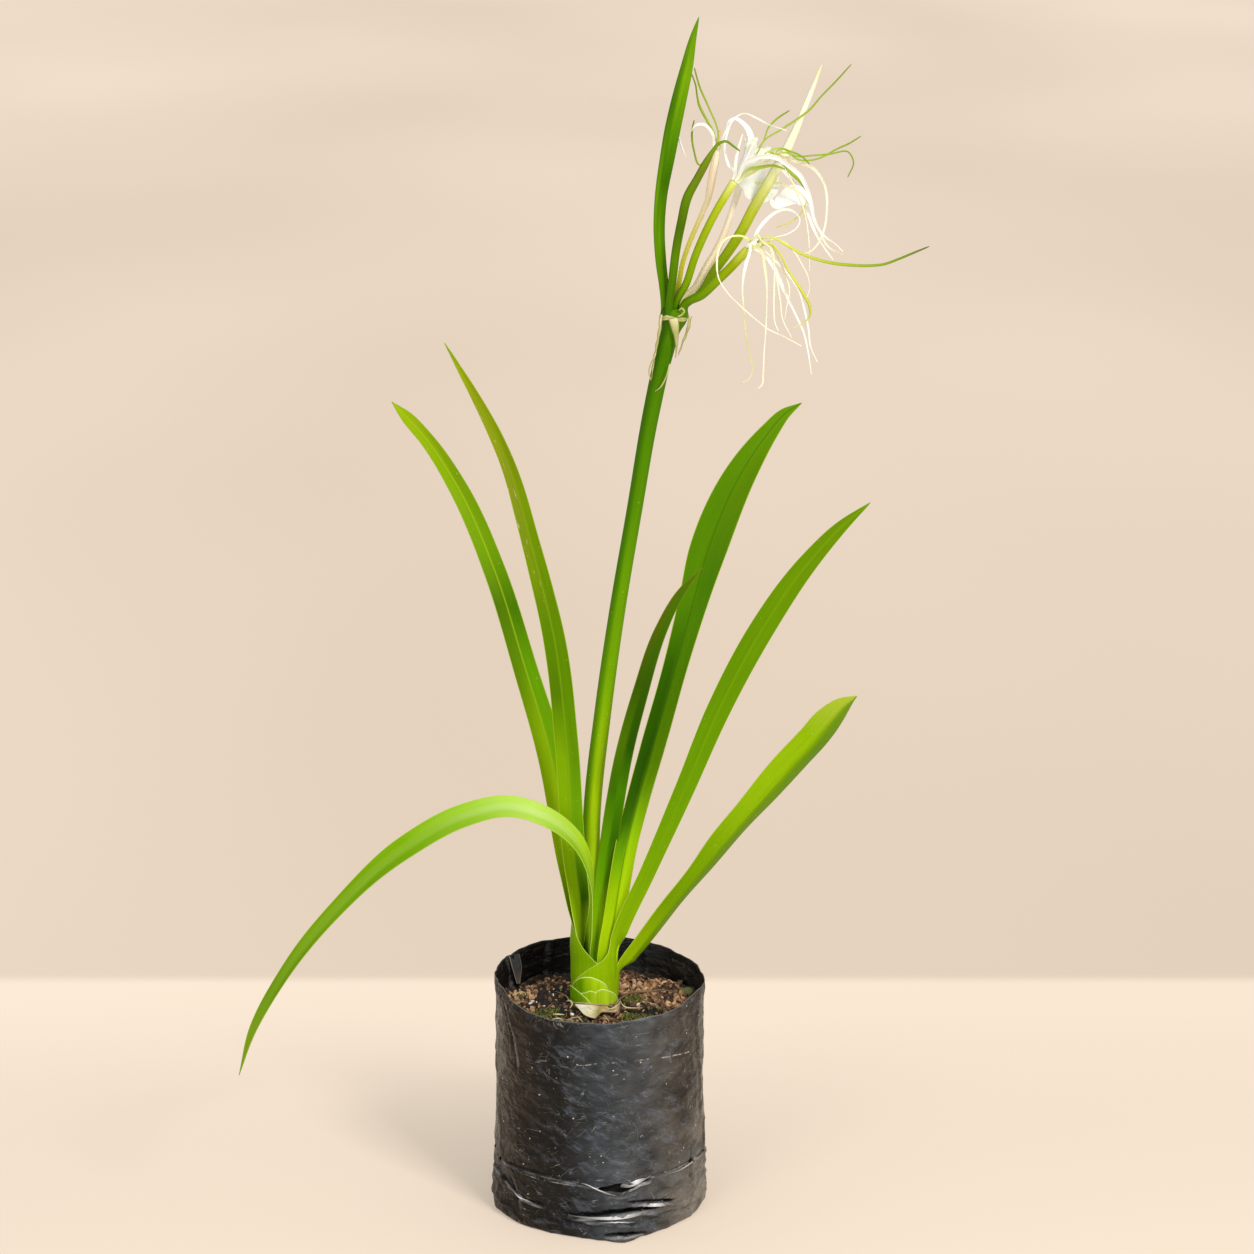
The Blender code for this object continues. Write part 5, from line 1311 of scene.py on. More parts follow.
def bag_layers(grid, inside):
    """What the bag's finish reads at each point; lengths are in millimetres."""
    angle = np.arctan2(grid[:, :, 1], grid[:, :, 0])
    degrees, height = np.degrees(angle) % 360.0, grid[:, :, 2]
    seam, _ = fold_line(SEAM, degrees, 360.0)
    crease, show = fold_line(LEVEL_FOLDS[-1][0], degrees, 360.0)
    off = np.abs(height - crease) + 9.0 * (1.0 - show)
    groove, lip = bag_creases(angle, height)
    return {"rim": rim_height(angle) - height, "seam": height - seam,
            "crease": np.where(height > crease, 1.0, -1.0) * off,
            "groove": np.clip(groove, 0.0, 2.0), "lip": np.clip(lip, 0.0, 2.0),
            "inside": np.full(angle.shape, float(inside)), "east": 0.5 + 0.5 * np.cos(angle),
            "front": np.cos(np.radians(turn_between(degrees, 292.0)))}


def cut_holes(shape, points, faces, layers):
    """Open the holes: unzip one row of the grid between a hole's ends and wall the cut film."""
    rows, columns = shape[:2]
    half = rows * columns
    first = range(HOLE_ROW * columns, (HOLE_ROW + 1) * columns)
    second = range(first.stop, first.stop + columns)
    angle = 2 * math.pi * np.arange(columns) / columns
    points = list(map(tuple, points))
    layers = {key: list(values) for key, values in layers.items()}
    below = {}
    for hole in HOLES:
        upper, lower = hole_gap(angle, hole)
        for column in np.nonzero(upper + lower > 0.0)[0]:
            for old in (first[column], half + first[column]):
                x, y, z = points[old]
                below[old] = len(points)
                points.append((x, y, z - upper[column] - lower[column]))
                for values in layers.values():
                    values.append(values[old])
    for number, face in enumerate(faces):
        plain = [v % half for v in face]
        if any(v in second for v in plain) and any(v in first for v in plain):
            faces[number] = [below.get(v, v) for v in face]
    walls = []
    for column in range(columns):
        a, b = first[column], first[(column + 1) % columns]
        if a in below or b in below:
            c, d, e, f = (below.get(v, v) for v in (a, b, a + half, b + half))
            walls += [[a, b, b + half, a + half], [c, e, f, d]]
    return points, faces + walls, layers


# A fold of film inside the rim: its two edges, x, y, z.
RIM_FOLD = ("-72 38.9 187, -69.4 37.6 177, -66 39 163.6",
            "-64.4 48.4 185.6, -62.4 45.6 176.6, -63.6 40 163.2")
# Raised lips of film beside the deepest folds and the slit, drawn as thin pale strips of painted
# highlight: (direction, height, width) rows.
FOLD_LIP_HIGHLIGHTS = [
    "254 18 0.6, 266 18.6 1.8, 276 19.4 2.8, 286 20.2 3, 295 20.2 2, 301 19.6 0.6",
    "287 27 0.6, 297 24.8 2.6, 305 22.6 2.6, 314 19.9 0.6",
    "281 43.8 0.8, 284.5 45 5.4, 288.5 45.8 6.2, 293 47 4.6, 299 48.2 0.8",
    "255 47 0.5, 262.5 45.4 0.9, 270 41.6 1, 275.5 37.6 1.2, 280 35.4 0.5",
    "214 27.4 0.5, 222 23.4 1, 229 21.8 1.2, 232 21.4 0.5",
    "304 46.6 0.5, 315 45.8 0.8, 330 45.6 0.9, 352 43.2 0.5",
    "268 15 0.5, 276 15.8 1.2, 283 15.2 1.4, 290 13.2 0.5",
]


def add_bag(finish, flap_finish, lip_highlight_finish):
    outer, inner = bag_skin(0.0), bag_skin(FILM)
    rows, columns = outer.shape[:2]
    half = rows * columns
    points, faces = closed_sheet(outer, inner, wrap=True)
    # In the middle of the base no wall joins the skins; a fan of triangles closes each of them.
    faces = [face for face in faces
             if min(v % half for v in face) < half - columns or len({v // half for v in face}) < 2]
    skins = bag_layers(outer, 0), bag_layers(inner, 1)
    layers = {key: np.concatenate([skin[key].ravel() for skin in skins]) for key in skins[0]}
    points, faces, layers = cut_holes(outer.shape, points, faces, layers)
    for side, skin in ((0, outer), (half, inner)):
        centre, last = len(points), side + half - columns
        points.append((0.0, 0.0, float(skin[-1, :, 2].mean())))
        for values in layers.values():
            values.append(values[side + half - 1])
        faces += [[centre, last + k, last + (k + 1) % columns] for k in range(columns)]
    bag = add_piece("bag_film", points, faces, layers, finish)
    grid = bmesh.new()
    grid.from_mesh(bag.data)
    bmesh.ops.recalc_face_normals(grid, faces=grid.faces)
    grid.to_mesh(bag.data)
    grid.free()
    rides(bag, "bag_film", "grow_bag")
    rides(add_patch("rim_fold", *RIM_FOLD, flap_finish, -1.0, 0.3), "bag_film")
    # Pale strips along the lips stand for their painted highlight.
    for number, path in enumerate(FOLD_LIP_HIGHLIGHTS):
        rows = []
        for degrees, height, wide in numbers(path):
            turn = math.radians(degrees)
            reach = float(wall_radius(turn, height) + bag_relief(turn, height)) + 0.5
            rows.append((reach * math.cos(turn), reach * math.sin(turn), height, wide, -24.0))
        lip = add_blade(f"fold_lip_highlight_{number + 1}", rows, lip_highlight_finish, 0.35, (-0.25, -0.25), 90, 9,
                        wave=(0.25, 5.0))
        rides(lip, "bag_film")


def bag_finish():
    """Dull black film: scratches, dust, dashed lines at the seam and rim, small creases; a painted
    sheen and reflection that change round the bag, painted highlights on the fold lips and the cut
    edge, and painted shade in the creases.
    """
    f = Finish("bag_film_finish", 0.34)
    east = f.layer("east")
    cloud = f.grain(f.place(0.020, 0.026), 6.0, 0.62)
    ripple = f.grain(f.place(0.05, 0.12, slant=0.35), 6.0, 0.64)
    fine = f.grain(f.place(0.35, 0.8), 4.0, 0.65)
    # Painted reflection round the bag by east: dark brown on the left, a blue-grey sheen in front,
    # lighter to the right.
    tone = f.ramp(east, """0 40 30 19, 0.12 36 27 18, 0.31 21 19 18, 0.5 52 57 62,
                           0.69 66 68 70, 0.885 72 67 60, 1 74 65 54""")
    tall = f.node("SeparateXYZ", {0: f.place()}).outputs[2]
    # Painted sheen and shade by side and height: darker high on the right, painted shade low on the
    # left, a painted reflection low on the right.
    side = f.times(f.step(east, 0.72, 0.95), 0.6)
    tone = f.tint(tone, (38, 32, 25), side, f.step(tall, 60.0, 130.0))
    tone = f.tint(tone, (8, 7, 5), f.step(east, 0.58, 0.30), f.step(tall, 130.0, 50.0), 0.4)
    tone = f.tint(tone, (108, 103, 95), side, f.step(tall, 110.0, 30.0))
    tone = f.brighten(tone, cloud, 3.0)
    tone = f.brighten(tone, ripple, 2.0)
    # Painted sheen: blue-grey patches toward the front.
    painted_sheen = f.step(f.grain(f.place(0.06, 0.15, slant=-0.5), 8.0, 0.70), 0.50, 0.66)
    tone = f.tint(tone, (108, 115, 128), painted_sheen, f.step(f.layer("front"), 0.2, 0.95), 0.40)
    # Painted highlight along the lips of the folds.
    lip = f.step(f.layer("lip"), 0.3, 1.5)
    tone = f.tint(tone, (168, 166, 166), lip, f.step(ripple, 0.35, 0.6), 0.6)
    # Painted shade in the creases.
    tone = f.tint(tone, (8, 8, 8), f.step(f.layer("groove"), 0.4, 1.7))
    for across, up, slant in ((0.16, 0.012, 0.5), (0.15, 0.010, -0.75), (0.014, 0.2, 0.12),
                              (0.2, 0.02, 1.25)):
        lines = f.grain(f.place(across, up, slant=slant), 2.0, 0.4)
        thin = f.step(f.apart(lines), 0.0060, 0.0018)
        where = f.grain(f.place(0.045, slant=slant * 2.0), 2.5, scale=1.3)
        tone = f.tint(tone, (168, 167, 164), thin, f.step(where, 0.56, 0.64), 0.5)
    some = f.step(f.grain(f.place(0.03), 2.0, scale=1.7), 0.45, 0.6)
    dust = f.step(f.cells(f.place(0.10)), 0.070, 0.040)
    tone = f.tint(tone, (222, 220, 214), dust, some, 0.9)
    tone = f.tint(tone, (222, 214, 200), f.step(f.cells(f.place(0.055, 0.07)), 0.047, 0.025), 0.9)
    dashes = f.step(f.grain(f.place(0.11, 0.02), 4.0, 0.7), 0.45, 0.60)
    for layer, width, strength in (("crease", 0.45, 0.75), ("seam", 0.4, 0.5)):
        off = f.math("ABSOLUTE", f.math("ADD", f.layer(layer), f.times(fine, 0.5)))
        line = f.step(off, width * 1.5, width * 0.4)
        tone = f.tint(tone, (196, 192, 184), line, dashes, strength)
    # Painted highlight along the cut edge.
    tone = f.tint(tone, (140, 138, 134), f.step(f.layer("rim"), 1.0, 0.1), 0.55)
    tone = f.tint(tone, (20, 19, 19), f.layer("inside"), 0.65)
    normal = f.bump(ripple, 1.1, f.bump(fine, 0.10))
    for across, up, depth in ((0.09, 0.15, 2.6), (0.028, 0.06, 7.0)):
        crease = f.apart(f.grain(f.place(across, up), rough=0.5))
        normal = f.bump(crease, depth, normal)
    worn = f.math("MULTIPLY_ADD", f.math("ADD", cloud, f.times(ripple, 2.0)), -0.5, 1.06)
    rough = f.math("MINIMUM", f.math("MAXIMUM", worn, 0.18), 0.85)
    return f.finish(tone, normal, rough, Specular_IOR_Level=0.17)


# ---------------------------------------------------------------- soil and what lies on it

SOIL_REACH = 74.0  # how far from the bag's middle grains may lie
# The tone of the soil's sides, which show through the slit and below the rim: darkened as painted
# shade.
SOIL_SIDE_SHADE_TONE = -0.6


def soil_level(x, y):
    """The height of the soil without its crumbs; a mound stands left of the neck."""
    lumps = 1.2 * np.sin(x / 13.0) * np.cos(y / 11.0)
    mound = 2.6 * np.exp(-(((x + 38.0) / 17.0) ** 2 + ((y - 14.0) / 19.0) ** 2) ** 1.4)
    return 166.0 - 0.07 * np.maximum(y, 0.0) + lumps + mound


# Patches of the soil: x, y, half widths and how much lighter (or darker) they are. The dark patch
# at 50, 10 is a painted shadow of the runner, and the one at -27, -27 painted shade in a hollow.
SOIL_PATCHES = numbers("""
    -38 14 16 18 -0.62, -27 -27 8 12 -1, -48 -9 8 6 -0.4, 33 -24 13 6 -0.8, 62 32 9 14 -0.6,
    -10 62 30 7 -0.5, -61 14 8 12 0.45, 32 30 18 16 0.55, 60 -6 11 10 0.6, -20 46 10 9 0.5,
    26 -9 9 6 -0.4, 0 -52 20 8 -0.15, 50 10 11 4 -0.7, 46 -34 9 7 -0.5""")


def soil_tone(x, y):
    tone = 0.5
    for a, b, wide, deep, amount in SOIL_PATCHES:
        tone = tone + amount * np.exp(-(((x - a) / wide) ** 2 + ((y - b) / deep) ** 2) ** 1.3)
    return tone


def crumble(x, y):
    """Rough crumbs on the soil's surface, in millimetres."""
    high = noise.fractal(Vector((x / 9.0, y / 9.0, 0.3)), 0.7, 2.1, 5)
    clods = noise.voronoi(Vector((x / 6.5, y / 6.5, 1.7)))[0]
    small = noise.voronoi(Vector((x / 2.6, y / 2.6, 4.1)))[0]
    return 2.0 * high + 2.6 * (clods[1] - clods[0]) + 1.1 * (small[1] - small[0]) - 1.9


def ground(x, y):
    return float(soil_level(x, y)) + crumble(x, y)


def add_soil(finish):
    """The soil as one closed body: a crumbly top, and sides that follow the bag."""
    angle = turns(260)
    edge = np.min([wall_radius(angle, level) + bag_relief(angle, np.full_like(angle, level))
                   for level in np.arange(148.0, 176.0, 2.0)], axis=0) - FILM - 0.5
    rings, tones = [], []
    for share in (0.02, *np.linspace(0.05, 1.0, 84)):
        x, y = edge * share * np.cos(angle), edge * share * np.sin(angle)
        rough = np.array([crumble(a, b) for a, b in zip(x, y)])
        bank = 3.0 * smooth_step(share, 0.86, 1.0) * np.sin(7 * angle)
        rings.append(np.stack([x, y, soil_level(x, y) + rough + bank * 0.5], axis=-1))
        # Lighter where the crumbs stand up and darker where they dip: painted shade in the hollows.
        tones.append(soil_tone(x, y) + 0.28 * np.clip(rough, -1.6, 1.6))
    for height in (150.0, 120.0, 90.0, 60.0, 45.0, 30.0, 15.0, 6.0):
        radius = np.minimum(wall_radius(angle, height) - FILM - 4.4, edge)
        rings.append(upright_ring(radius, angle, height))
    for share in (0.9, 0.5):
        rings.append(upright_ring((wall_radius(angle, 4.0) - 7.0) * share, angle, 2.0))
    # The sides take the darker tone of painted shade.
    tones += [np.full_like(angle, SOIL_SIDE_SHADE_TONE)] * (len(rings) - len(tones))
    soil = add_piece("soil_body", *close_rings(np.array(rings), {"tone": np.array(tones)}), finish)
    rides(soil, "soil", "potting_soil")


def soil_finish(name, stops, roughness=0.92, relief=0.5):
    """Mottled by grain, and lighter or darker by the layer called tone."""
    f = Finish(name + "_finish", roughness)
    lumps = f.grain(f.place(0.07), 4.0, 0.6)
    fine = f.grain(f.place(0.35), 6.0, 0.7)
    mixed = f.math("ADD", f.times(lumps, 0.4), f.times(fine, 0.85))
    mixed = f.math("ADD", mixed, f.times(f.layer("tone"), 0.42))
    tone = f.ramp(f.math("SUBTRACT", mixed, 0.385), stops)
    tone = f.tint(tone, (196, 168, 132), f.step(f.cells(f.place(0.5)), 0.16, 0.08), 0.35)
    return f.finish(tone, f.bump(fine, relief))


def ball(level):
    grid = bmesh.new()
    bmesh.ops.create_icosphere(grid, subdivisions=level, radius=1.0)
    points = np.array([v.co[:] for v in grid.verts])
    faces = [[v.index for v in face.verts] for face in grid.faces]
    grid.free()
    return points, faces


def soil_spot(reach, sector):
    """A random place on the soil, clear of the neck."""
    while True:
        angle = math.radians(RNG.uniform(*sector))
        near, far = ((side / SOIL_REACH) ** 2 for side in reach)
        radius = math.sqrt(RNG.uniform(near, far)) * SOIL_REACH
        x, y = radius * math.cos(angle), radius * math.sin(angle)
        if ((x - NECK_X) / 25.0) ** 2 + ((y - NECK_Y) / 22.0) ** 2 > 1.0:
            return x, y


def add_grains(name, groups, level, finish, rough, sink=0.35, flat=0.75, spots=(),
               sharp=None):
    """Many small stones or crumbs on the soil, as one piece; see add_loose_grains for groups."""
    base, faces = ball(level)
    places = [(*soil_spot(reach, sector), RNG.uniform(*sizes))
              for count, sizes, reach, sector in groups for _ in range(count)]
    bodies = []
    for x, y, size in places + list(spots):
        shift = Vector((RNG.uniform(0.0, 90.0), 0, 0))
        swell = [1.0 + rough * noise.fractal(Vector(p) * 1.3 + shift, 0.8, 2.0, 3) for p in base]
        turn, _ = np.linalg.qr(RNG.normal(size=(3, 3)))
        stretch = np.array([1.0, RNG.uniform(0.55, 1.0), RNG.uniform(0.45, flat)])
        points = (base * np.array(swell)[:, None] * stretch) @ turn.T * size
        points = points + [x, y, ground(x, y) + size * (1.0 - 2 * sink) * 0.5]
        tone = RNG.uniform(0.0, 1.0) + 0.7 * (soil_tone(x, y) - 0.5) + 0.1
        bodies.append((points, outward(points, faces), {"tone": np.full(len(points), tone)}))
    rides(add_piece(name, *join_bodies(bodies), finish, sharp), "soil")


# Patches of moss: x, y, half widths and the number of spikes.
MOSS = (
    (-52, -33, 12, 6, 190), (-40, -30, 9, 6, 130), (-41, -40, 9, 5, 110), (-62, 0, 6, 5, 25),
    (27, -6, 9, 5, 190), (24, -37, 8, 5, 170), (34, -40, 7, 4, 90), (46, -20, 6, 4, 25),
    (-28, -48, 12, 5, 60), (62, 22, 7, 4, 40),
)


def add_moss(finish):
    """Tufts of moss: short curved spikes in a few patches."""
    bodies = []
    for x, y, wide, deep, count in MOSS:
        for _ in range(count):
            a, b = RNG.normal(size=2)
            foot = np.array([x + a * wide * 0.45, y + b * deep * 0.5])
            low = ground(*foot) - 0.4
            lean = RNG.normal(size=2) * 1.3
            tall = RNG.uniform(1.6, 3.8)
            rows = [(*foot, low, 0.5), (*(foot + lean * 0.3), low + tall * 0.6, 0.45),
                    (*(foot + lean), low + tall, 0.1)]
            spike = tube_rings(sample_rows(rows, np.linspace(0.0, 1.0, 5)), 5)
            points, faces, _ = close_rings(*spike)
            bodies.append((points, faces, {"tone": np.full(len(points), RNG.uniform(0.0, 1.0))}))
    rides(add_piece("moss_tufts", *join_bodies(bodies), finish), "soil")


# The two edges of the dry scale in front of the neck, and the runner: rows of x, y, z, radius.
SHEATH_EDGES = ("""
    -18.8 -28.6 172.4, -12.6 -28.8 172, -4.1 -29 171.6, 3.6 -30.2 171.4, 10.6 -35.5 171.2,
    16 -27.4 172.6""", """
    -18.4 -30.4 171.6, -14.9 -37 170.3, -10.9 -45.3 169.4, -6.3 -49.3 169, -2.7 -50.6 168.8,
    -0.5 -45.1 169.6, 1.9 -40.5 170.2, 6.8 -39.7 170.2, 13 -40.6 170.6, 16.5 -28.8 172""")
RUNNER = """
    15.5 -16.7 171.6 0.7, 19.8 -7.8 171.2 0.9, 23.7 -0.3 170.8 0.95, 31.6 3.8 170.2 0.9,
    39 5 169.8 0.8, 48 11 168.9 0.7, 60 13 166.5 0.4"""
SPROUT = "68 9.5 162 0.5, 68.8 8.4 165.5 0.6, 69.4 7.2 169 0.5"
# Strands and scraps: finish, radius, rows of x, y, z.
LITTER = {
    "twig_neck_front": ("straw", 0.75, """
        -35 4.7 170.4, -27 -6.3 171.2, -20.2 -23.9 171.8, -12.7 -27.3 172.6, -4.1 -29.7 172.6,
        3.6 -30.9 172.6, 8.7 -32.4 172, 12.1 -36.7 171.3"""),
    "sheath_rolled_edge": ("straw", 0.7, """
        -2.7 -50.9 169, -0.5 -45.5 169.8, 1.9 -41 170.4, 6.8 -40.2 170.4, 13 -41.2 170.8,
        15 -35.2 172.4, 16.2 -26.9 173"""),
    "strand_1": ("straw", 0.6, """
        8.3 -38 171.3, 12.1 -33.4 172.7, 14 -26.1 173.2, 16 -16.7 172.4"""),
    "strand_2": ("paper", 0.7, """
        3.6 -34 171.7, 9.8 -38 172.2, 13.7 -33.4 172.9, 16.4 -21.8 172.8"""),
    "twig_right_loop": ("paper", 0.7, """
        16 -19.1 172.2, 17.1 -26.5 171.8, 20.6 -31.1 170.6, 26.8 -30.7 169.8, 33.8 -28.3 169"""),
    "twig_right_low": ("straw", 0.5, """
        25.3 -21 169.2, 35.4 -17.2 169.6, 43.1 -21.6 169.4, 48.5 -31.8 168.8"""),
    "twig_ring": ("twig", 0.6, """
        38 2 169.4, 43.2 -6.2 169.8, 45.5 -17.2 169.8, 43.6 -27.5 169"""),
    "white_curl": ("paper", 0.85, """
        -25.6 -17 170, -24.4 -19 171.4, -22.2 -22.4 172.2, -21.4 -28.6 171.2, -22.8 -30.6 169.8"""),
    "root_pale": ("paper", 0.9, """
        -35.8 -43.3 169.6, -32.5 -44.6 170, -26.6 -44.4 169.6"""),
    "root_pale_low": ("paper", 0.8, "-36.1 -53 169.2, -30.8 -52.4 169.6, -27 -56 169.4"),
    "twig_front_1": ("straw", 0.6, """
        -28.5 -51.9 169.6, -24.6 -56.5 170, -19.3 -52.2 170.2, -12.4 -49.3 169.8"""),
    "twig_front_2": ("paper", 0.6, """
        -17 -47.7 170, -14.7 -53.5 169.8, -12.3 -59.4 169.2"""),
    "twig_front_3": ("straw", 0.5, """
        -0.8 -54.6 169.2, 3 -52.4 170, 6.1 -54 169.6, 7.8 -59.3 169"""),
    "twig_front_4": ("paper", 0.6, "3.7 -46.6 170, 6.8 -54 169.6"),
    "twig_left": ("twig", 0.55, """
        -42.7 -36 169.6, -38.8 -28 170.4, -35.3 -20.4 170.8"""),
    "twig_left_rim": ("straw", 0.7, """
        -68.1 -11.3 169.4, -61.8 -16.2 169.8, -56 -17.6 169.4"""),
}


def add_litter(finishes):
    """The dry scale and runner, the straws and scraps on the soil, and a small sprout."""
    sheath = add_patch("dry_sheath_paper", *SHEATH_EDGES, finishes["scrap"], 0.7, 0.5, 0.45, 150)
    rides(sheath, "dry_bract", "dry_sheath")
    runner = add_tube("dry_runner_stem", numbers(RUNNER), finishes["twig"], 10, 70, ridges=3,
                      ridge=0.2)
    rides(runner, "dry_bract", "dry_runner")
    for name, (finish, radius, line) in LITTER.items():
        line = numbers(line)
        tops = np.linspace(0.0, math.pi, len(line))
        rows = [(x, y, max(z, ground(x, y) + 0.4), radius * (0.45 + 0.3 * math.sin(top)))
                for (x, y, z), top in zip(line, tops)]
        rides(add_tube(name, rows, finishes[finish], 8, 50), "dry_bract")
    rides(add_tube("sprout_leaf", numbers(SPROUT), finishes["sprout"], 8, 20), "leaf")
    places = np.linspace(0.0, 1.0, 24)[:, None]
    u = np.linspace(-1.0, 1.0, 17)[None]
    half = 3.6 * np.sqrt(np.clip(1.0 - (2 * places - 1) ** 2, 0.003, 1.0))
    pad = np.stack([69.4 + u * half, 4.6 + places * 4.0 - 0.2 * u * half,
                    167.6 + places * 4.4 + 0.15 * np.abs(u) * half], axis=-1)
    layers = {"tone": np.full(pad.shape[:2], 0.5)}
    rides(sheet_piece("sprout_pad", pad, 0.7, layers, finishes["sprout"]), "leaf")


def dry_finish(name, stops, dark=(86, 62, 44), roughness=0.7, rim=1.2, spots=0.7):
    """Paper, straw or loose film: tone by length, dark stains, and a dark rim in millimetres."""
    f = Finish(name + "_finish", roughness)
    fine = f.grain(f.strand(0.7, 18.0), 4.0, 0.65)
    broad = f.grain(f.strand(4.0, 10.0))
    tone = f.brighten(f.ramp(f.layer("along"), stops), fine, 0.5)
    tone = f.tint(tone, dark, f.step(broad, 0.52, 0.68), spots)
    tone = f.tint(tone, dark, f.step(f.layer("edge"), rim, rim * 0.17))
    return f.finish(tone, f.bump(fine, 0.25))


# ---------------------------------------------------------------- stage

HORIZON = 500.0
LAMPS = (  # name, place, size, power in watts, colour
    ("key_light", (1.5, -2.2, 2.4), 0.8, 66.0, (1.0, 0.965, 0.91)),
    ("fill_light", (-1.5, -2.4, 1.5), 1.2, 22.0, (1.0, 0.985, 0.965)),
)


def floor_finish():
    """The floor near the plant, and beyond HORIZON millimetres the backdrop of the photo's view."""
    f = Finish("stage_floor_finish", 0.85)
    soft = f.grain(f.place(0.0007, deep=0.0003), 1.5, 0.4)
    near = f.ramp(soft, "0.3 249 229 207, 0.7 253 236 216")
    far = f.ramp(soft, "0.3 224 205 184, 0.7 237 219 199")
    depth = f.node("SeparateXYZ", {0: f.place()}).outputs[1]
    tone = f.mix(f.step(depth, HORIZON - 30.0, HORIZON), near, far)
    ray = f.node("LightPath").outputs
    seen = f.math("ADD", ray["Is Camera Ray"], ray["Is Glossy Ray"])
    seen = f.math("MINIMUM", f.math("ADD", seen, ray["Is Transmission Ray"]), 1.0)
    back = f.math("MULTIPLY_ADD", f.step(depth, 60.0, 480.0), 0.70, 0.30)
    glow = f.times(back, seen)
    f.feed(f.shader.inputs["Emission Color"], tone)
    f.feed(f.shader.inputs["Emission Strength"], glow)
    normal = f.bump(f.grain(f.place(0.2)), 0.05)
    return f.finish(f.mix(glow, tone, (0, 0, 0)), normal, Specular_IOR_Level=0.2)


def add_stage():
    """A bare floor, the light of the world and two soft lamps aimed at the plant."""
    bpy.ops.mesh.primitive_plane_add(size=60.0)
    floor = bpy.context.object
    floor.name = "stage_floor"
    floor.data.materials.append(floor_finish())
    world = bpy.context.scene.world or bpy.data.worlds.new("studio")
    bpy.context.scene.world = world
    world.use_nodes = True
    shade = world.node_tree.nodes["Background"]
    shade.inputs["Color"].default_value = (0.97, 0.985, 1.0, 1.0)
    shade.inputs["Strength"].default_value = 0.54
    for name, place, size, power, tint in LAMPS:
        lamp = bpy.data.lights.new(name, "AREA")
        lamp.size = size
        lamp.energy = power
        lamp.color = tint
        thing = bpy.data.objects.new(name, lamp)
        thing.location = place
        aim = Vector((0.0, 0.0, 0.4)) - Vector(place)
        thing.rotation_euler = aim.to_track_quat("-Z", "Y").to_euler()
        bpy.context.scene.collection.objects.link(thing)


def add_camera():
    data = bpy.data.cameras.new("photo_view")
    data.lens = 102.0
    data.sensor_width = 36.0
    camera = bpy.data.objects.new("photo_view", data)
    camera.location = (0.0214, -2.61, 1.161)
    camera.rotation_euler = (math.radians(90.0 - 14.9), 0.0, 0.0)
    bpy.context.scene.collection.objects.link(camera)
    bpy.context.scene.camera = camera


DRY_FINISHES = {
    "paper": dict(stops="0 196 180 134, 0.5 222 208 166, 1 178 158 112"),
    "bract": dict(stops="0 216 208 160, 0.35 160 168 92, 0.7 180 178 116, 1 204 190 140",
                  dark=(150, 136, 84)),
    "scrap": dict(stops="""0 196 188 162, 0.14 232 226 204, 0.34 226 214 174, 0.46 168 150 82,
                           0.6 198 170 120, 0.8 214 182 146, 1 140 108 78""",
                  dark=(120, 90, 58), rim=0.5, spots=0.8),
    "straw": dict(stops="0 96 74 50, 0.35 164 134 98, 0.7 196 166 130, 1 124 98 70", rim=0.1),
    "twig": dict(stops="0 112 84 56, 0.5 136 104 72, 1 104 78 54"),
    # The pale colour given as dark marks the fold's cut edge as a painted highlight, and lightens a
    # few spots.
    "rim_fold": dict(stops="0 46 48 50, 0.5 58 57 54, 1 96 84 70", dark=(146, 142, 134),
                     roughness=0.4, rim=0.7, spots=0.15),
    # A pale strip with a white middle: the painted highlight along a fold's lip.
    "fold_lip_highlight": dict(stops="""0 56 56 58, 0.25 140 140 142, 0.5 226 226 228, 0.75 150 148 146,
                              1 52 52 54""", dark=(92, 92, 94), roughness=0.35, rim=0.25,
                     spots=0.6),
}
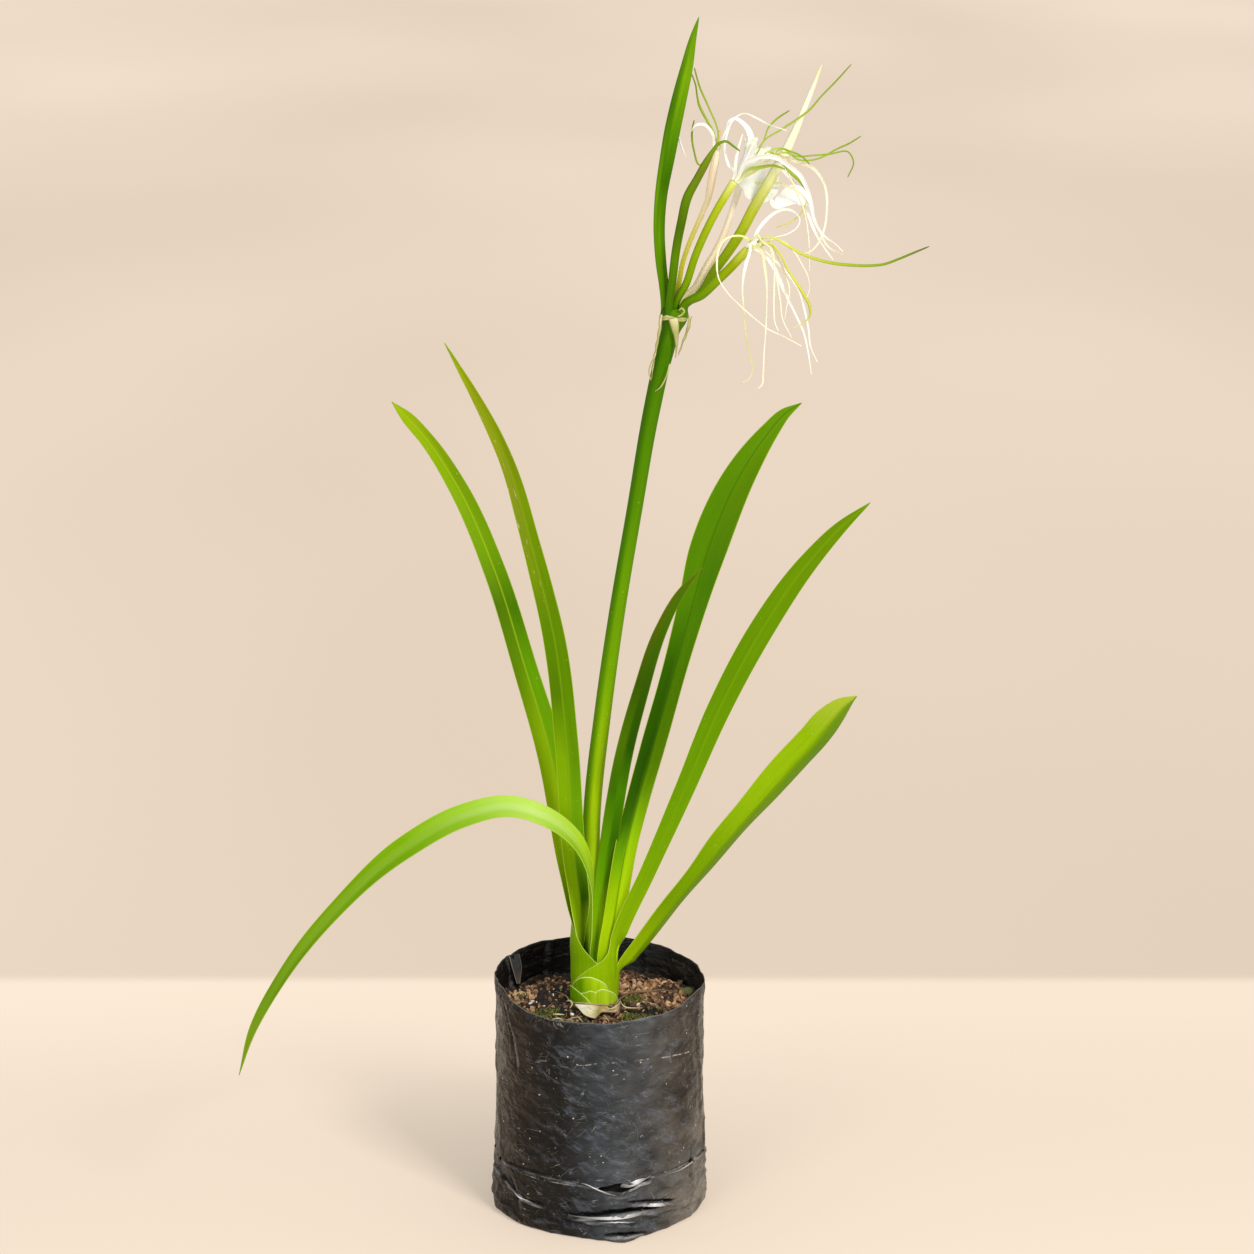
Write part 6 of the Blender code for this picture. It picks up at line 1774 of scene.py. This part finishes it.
SOIL_FINISHES = {  # the ramp, then the roughness and the relief where they differ
    "sprout": ("0.2 50 54 14, 0.5 74 82 22, 0.8 104 108 36", 0.6, 0.2),
    "moss": ("0.2 48 52 16, 0.5 104 106 34, 0.8 168 164 72", 0.7, 0.2),
    "soil": ("0.18 16 11 8, 0.36 52 37 26, 0.5 112 81 55, 0.62 168 125 88, 0.78 220 178 134",),
    "crumb": ("0.2 32 23 16, 0.42 104 75 52, 0.6 182 136 98, 0.8 226 186 144",),
    "pebble": ("0.25 158 122 84, 0.5 214 178 132, 0.8 242 220 180", 0.75, 0.15),
    "perlite": ("0.2 226 222 210, 0.8 250 248 240", 0.8, 0.15),
}


# Single grains of perlite: x, y, size.
PERLITE = """
    30 -13.4 2.1, 34.6 -9.5 1.2, -35.7 4 1.8, -21 -37.5 1.7, -43 -15 1.2, -54 -12 1.6,
    -28.7 5.3 0.9, -52 -8 1.5, 40 -8 1"""


def add_loose_grains(finishes):
    """Crumbs, pebbles and perlite; a group is a count, sizes, a reach and a sector in degrees."""
    around = (0.0, 360.0)
    add_grains("soil_crumbs", [(560, (0.8, 2.2), (0, 73), around),
                               (110, (1.8, 3.6), (20, 70), around),
                               (150, (1.6, 3.8), (30, 73), (-25, 80))],
               2, finishes["crumb"], rough=0.62, flat=0.7, sharp=38.0)
    add_grains("soil_pebbles", [(30, (1.2, 2.4), (56, 72), (155, 192)),
                                (34, (0.7, 1.5), (30, 73), around),
                                (10, (1.0, 2.2), (44, 70), (225, 262))],
               3, finishes["pebble"], sink=0.2, rough=0.35, flat=0.6)
    add_grains("soil_perlite", [(12, (0.5, 1.2), (30, 70), around)],
               3, finishes["perlite"], sink=0.1, rough=0.25, spots=numbers(PERLITE))


def main():
    bpy.context.scene.view_settings.view_transform = "Standard"
    add_camera()
    add_stage()
    finishes = plant_finishes()
    for name, looks in DRY_FINISHES.items():
        finishes[name] = dry_finish(name, **looks)
    for name, looks in SOIL_FINISHES.items():
        finishes[name] = soil_finish(name, *looks)
    add_bag(bag_finish(), finishes["rim_fold"], finishes["fold_lip_highlight"])
    add_soil(finishes["soil"])
    add_loose_grains(finishes)
    add_moss(finishes["moss"])
    for add in (add_litter, add_neck, add_leaves, add_scape, add_umbel, add_bracts, add_cups,
                add_tepals, add_filaments, add_threads):
        add(finishes)


main()
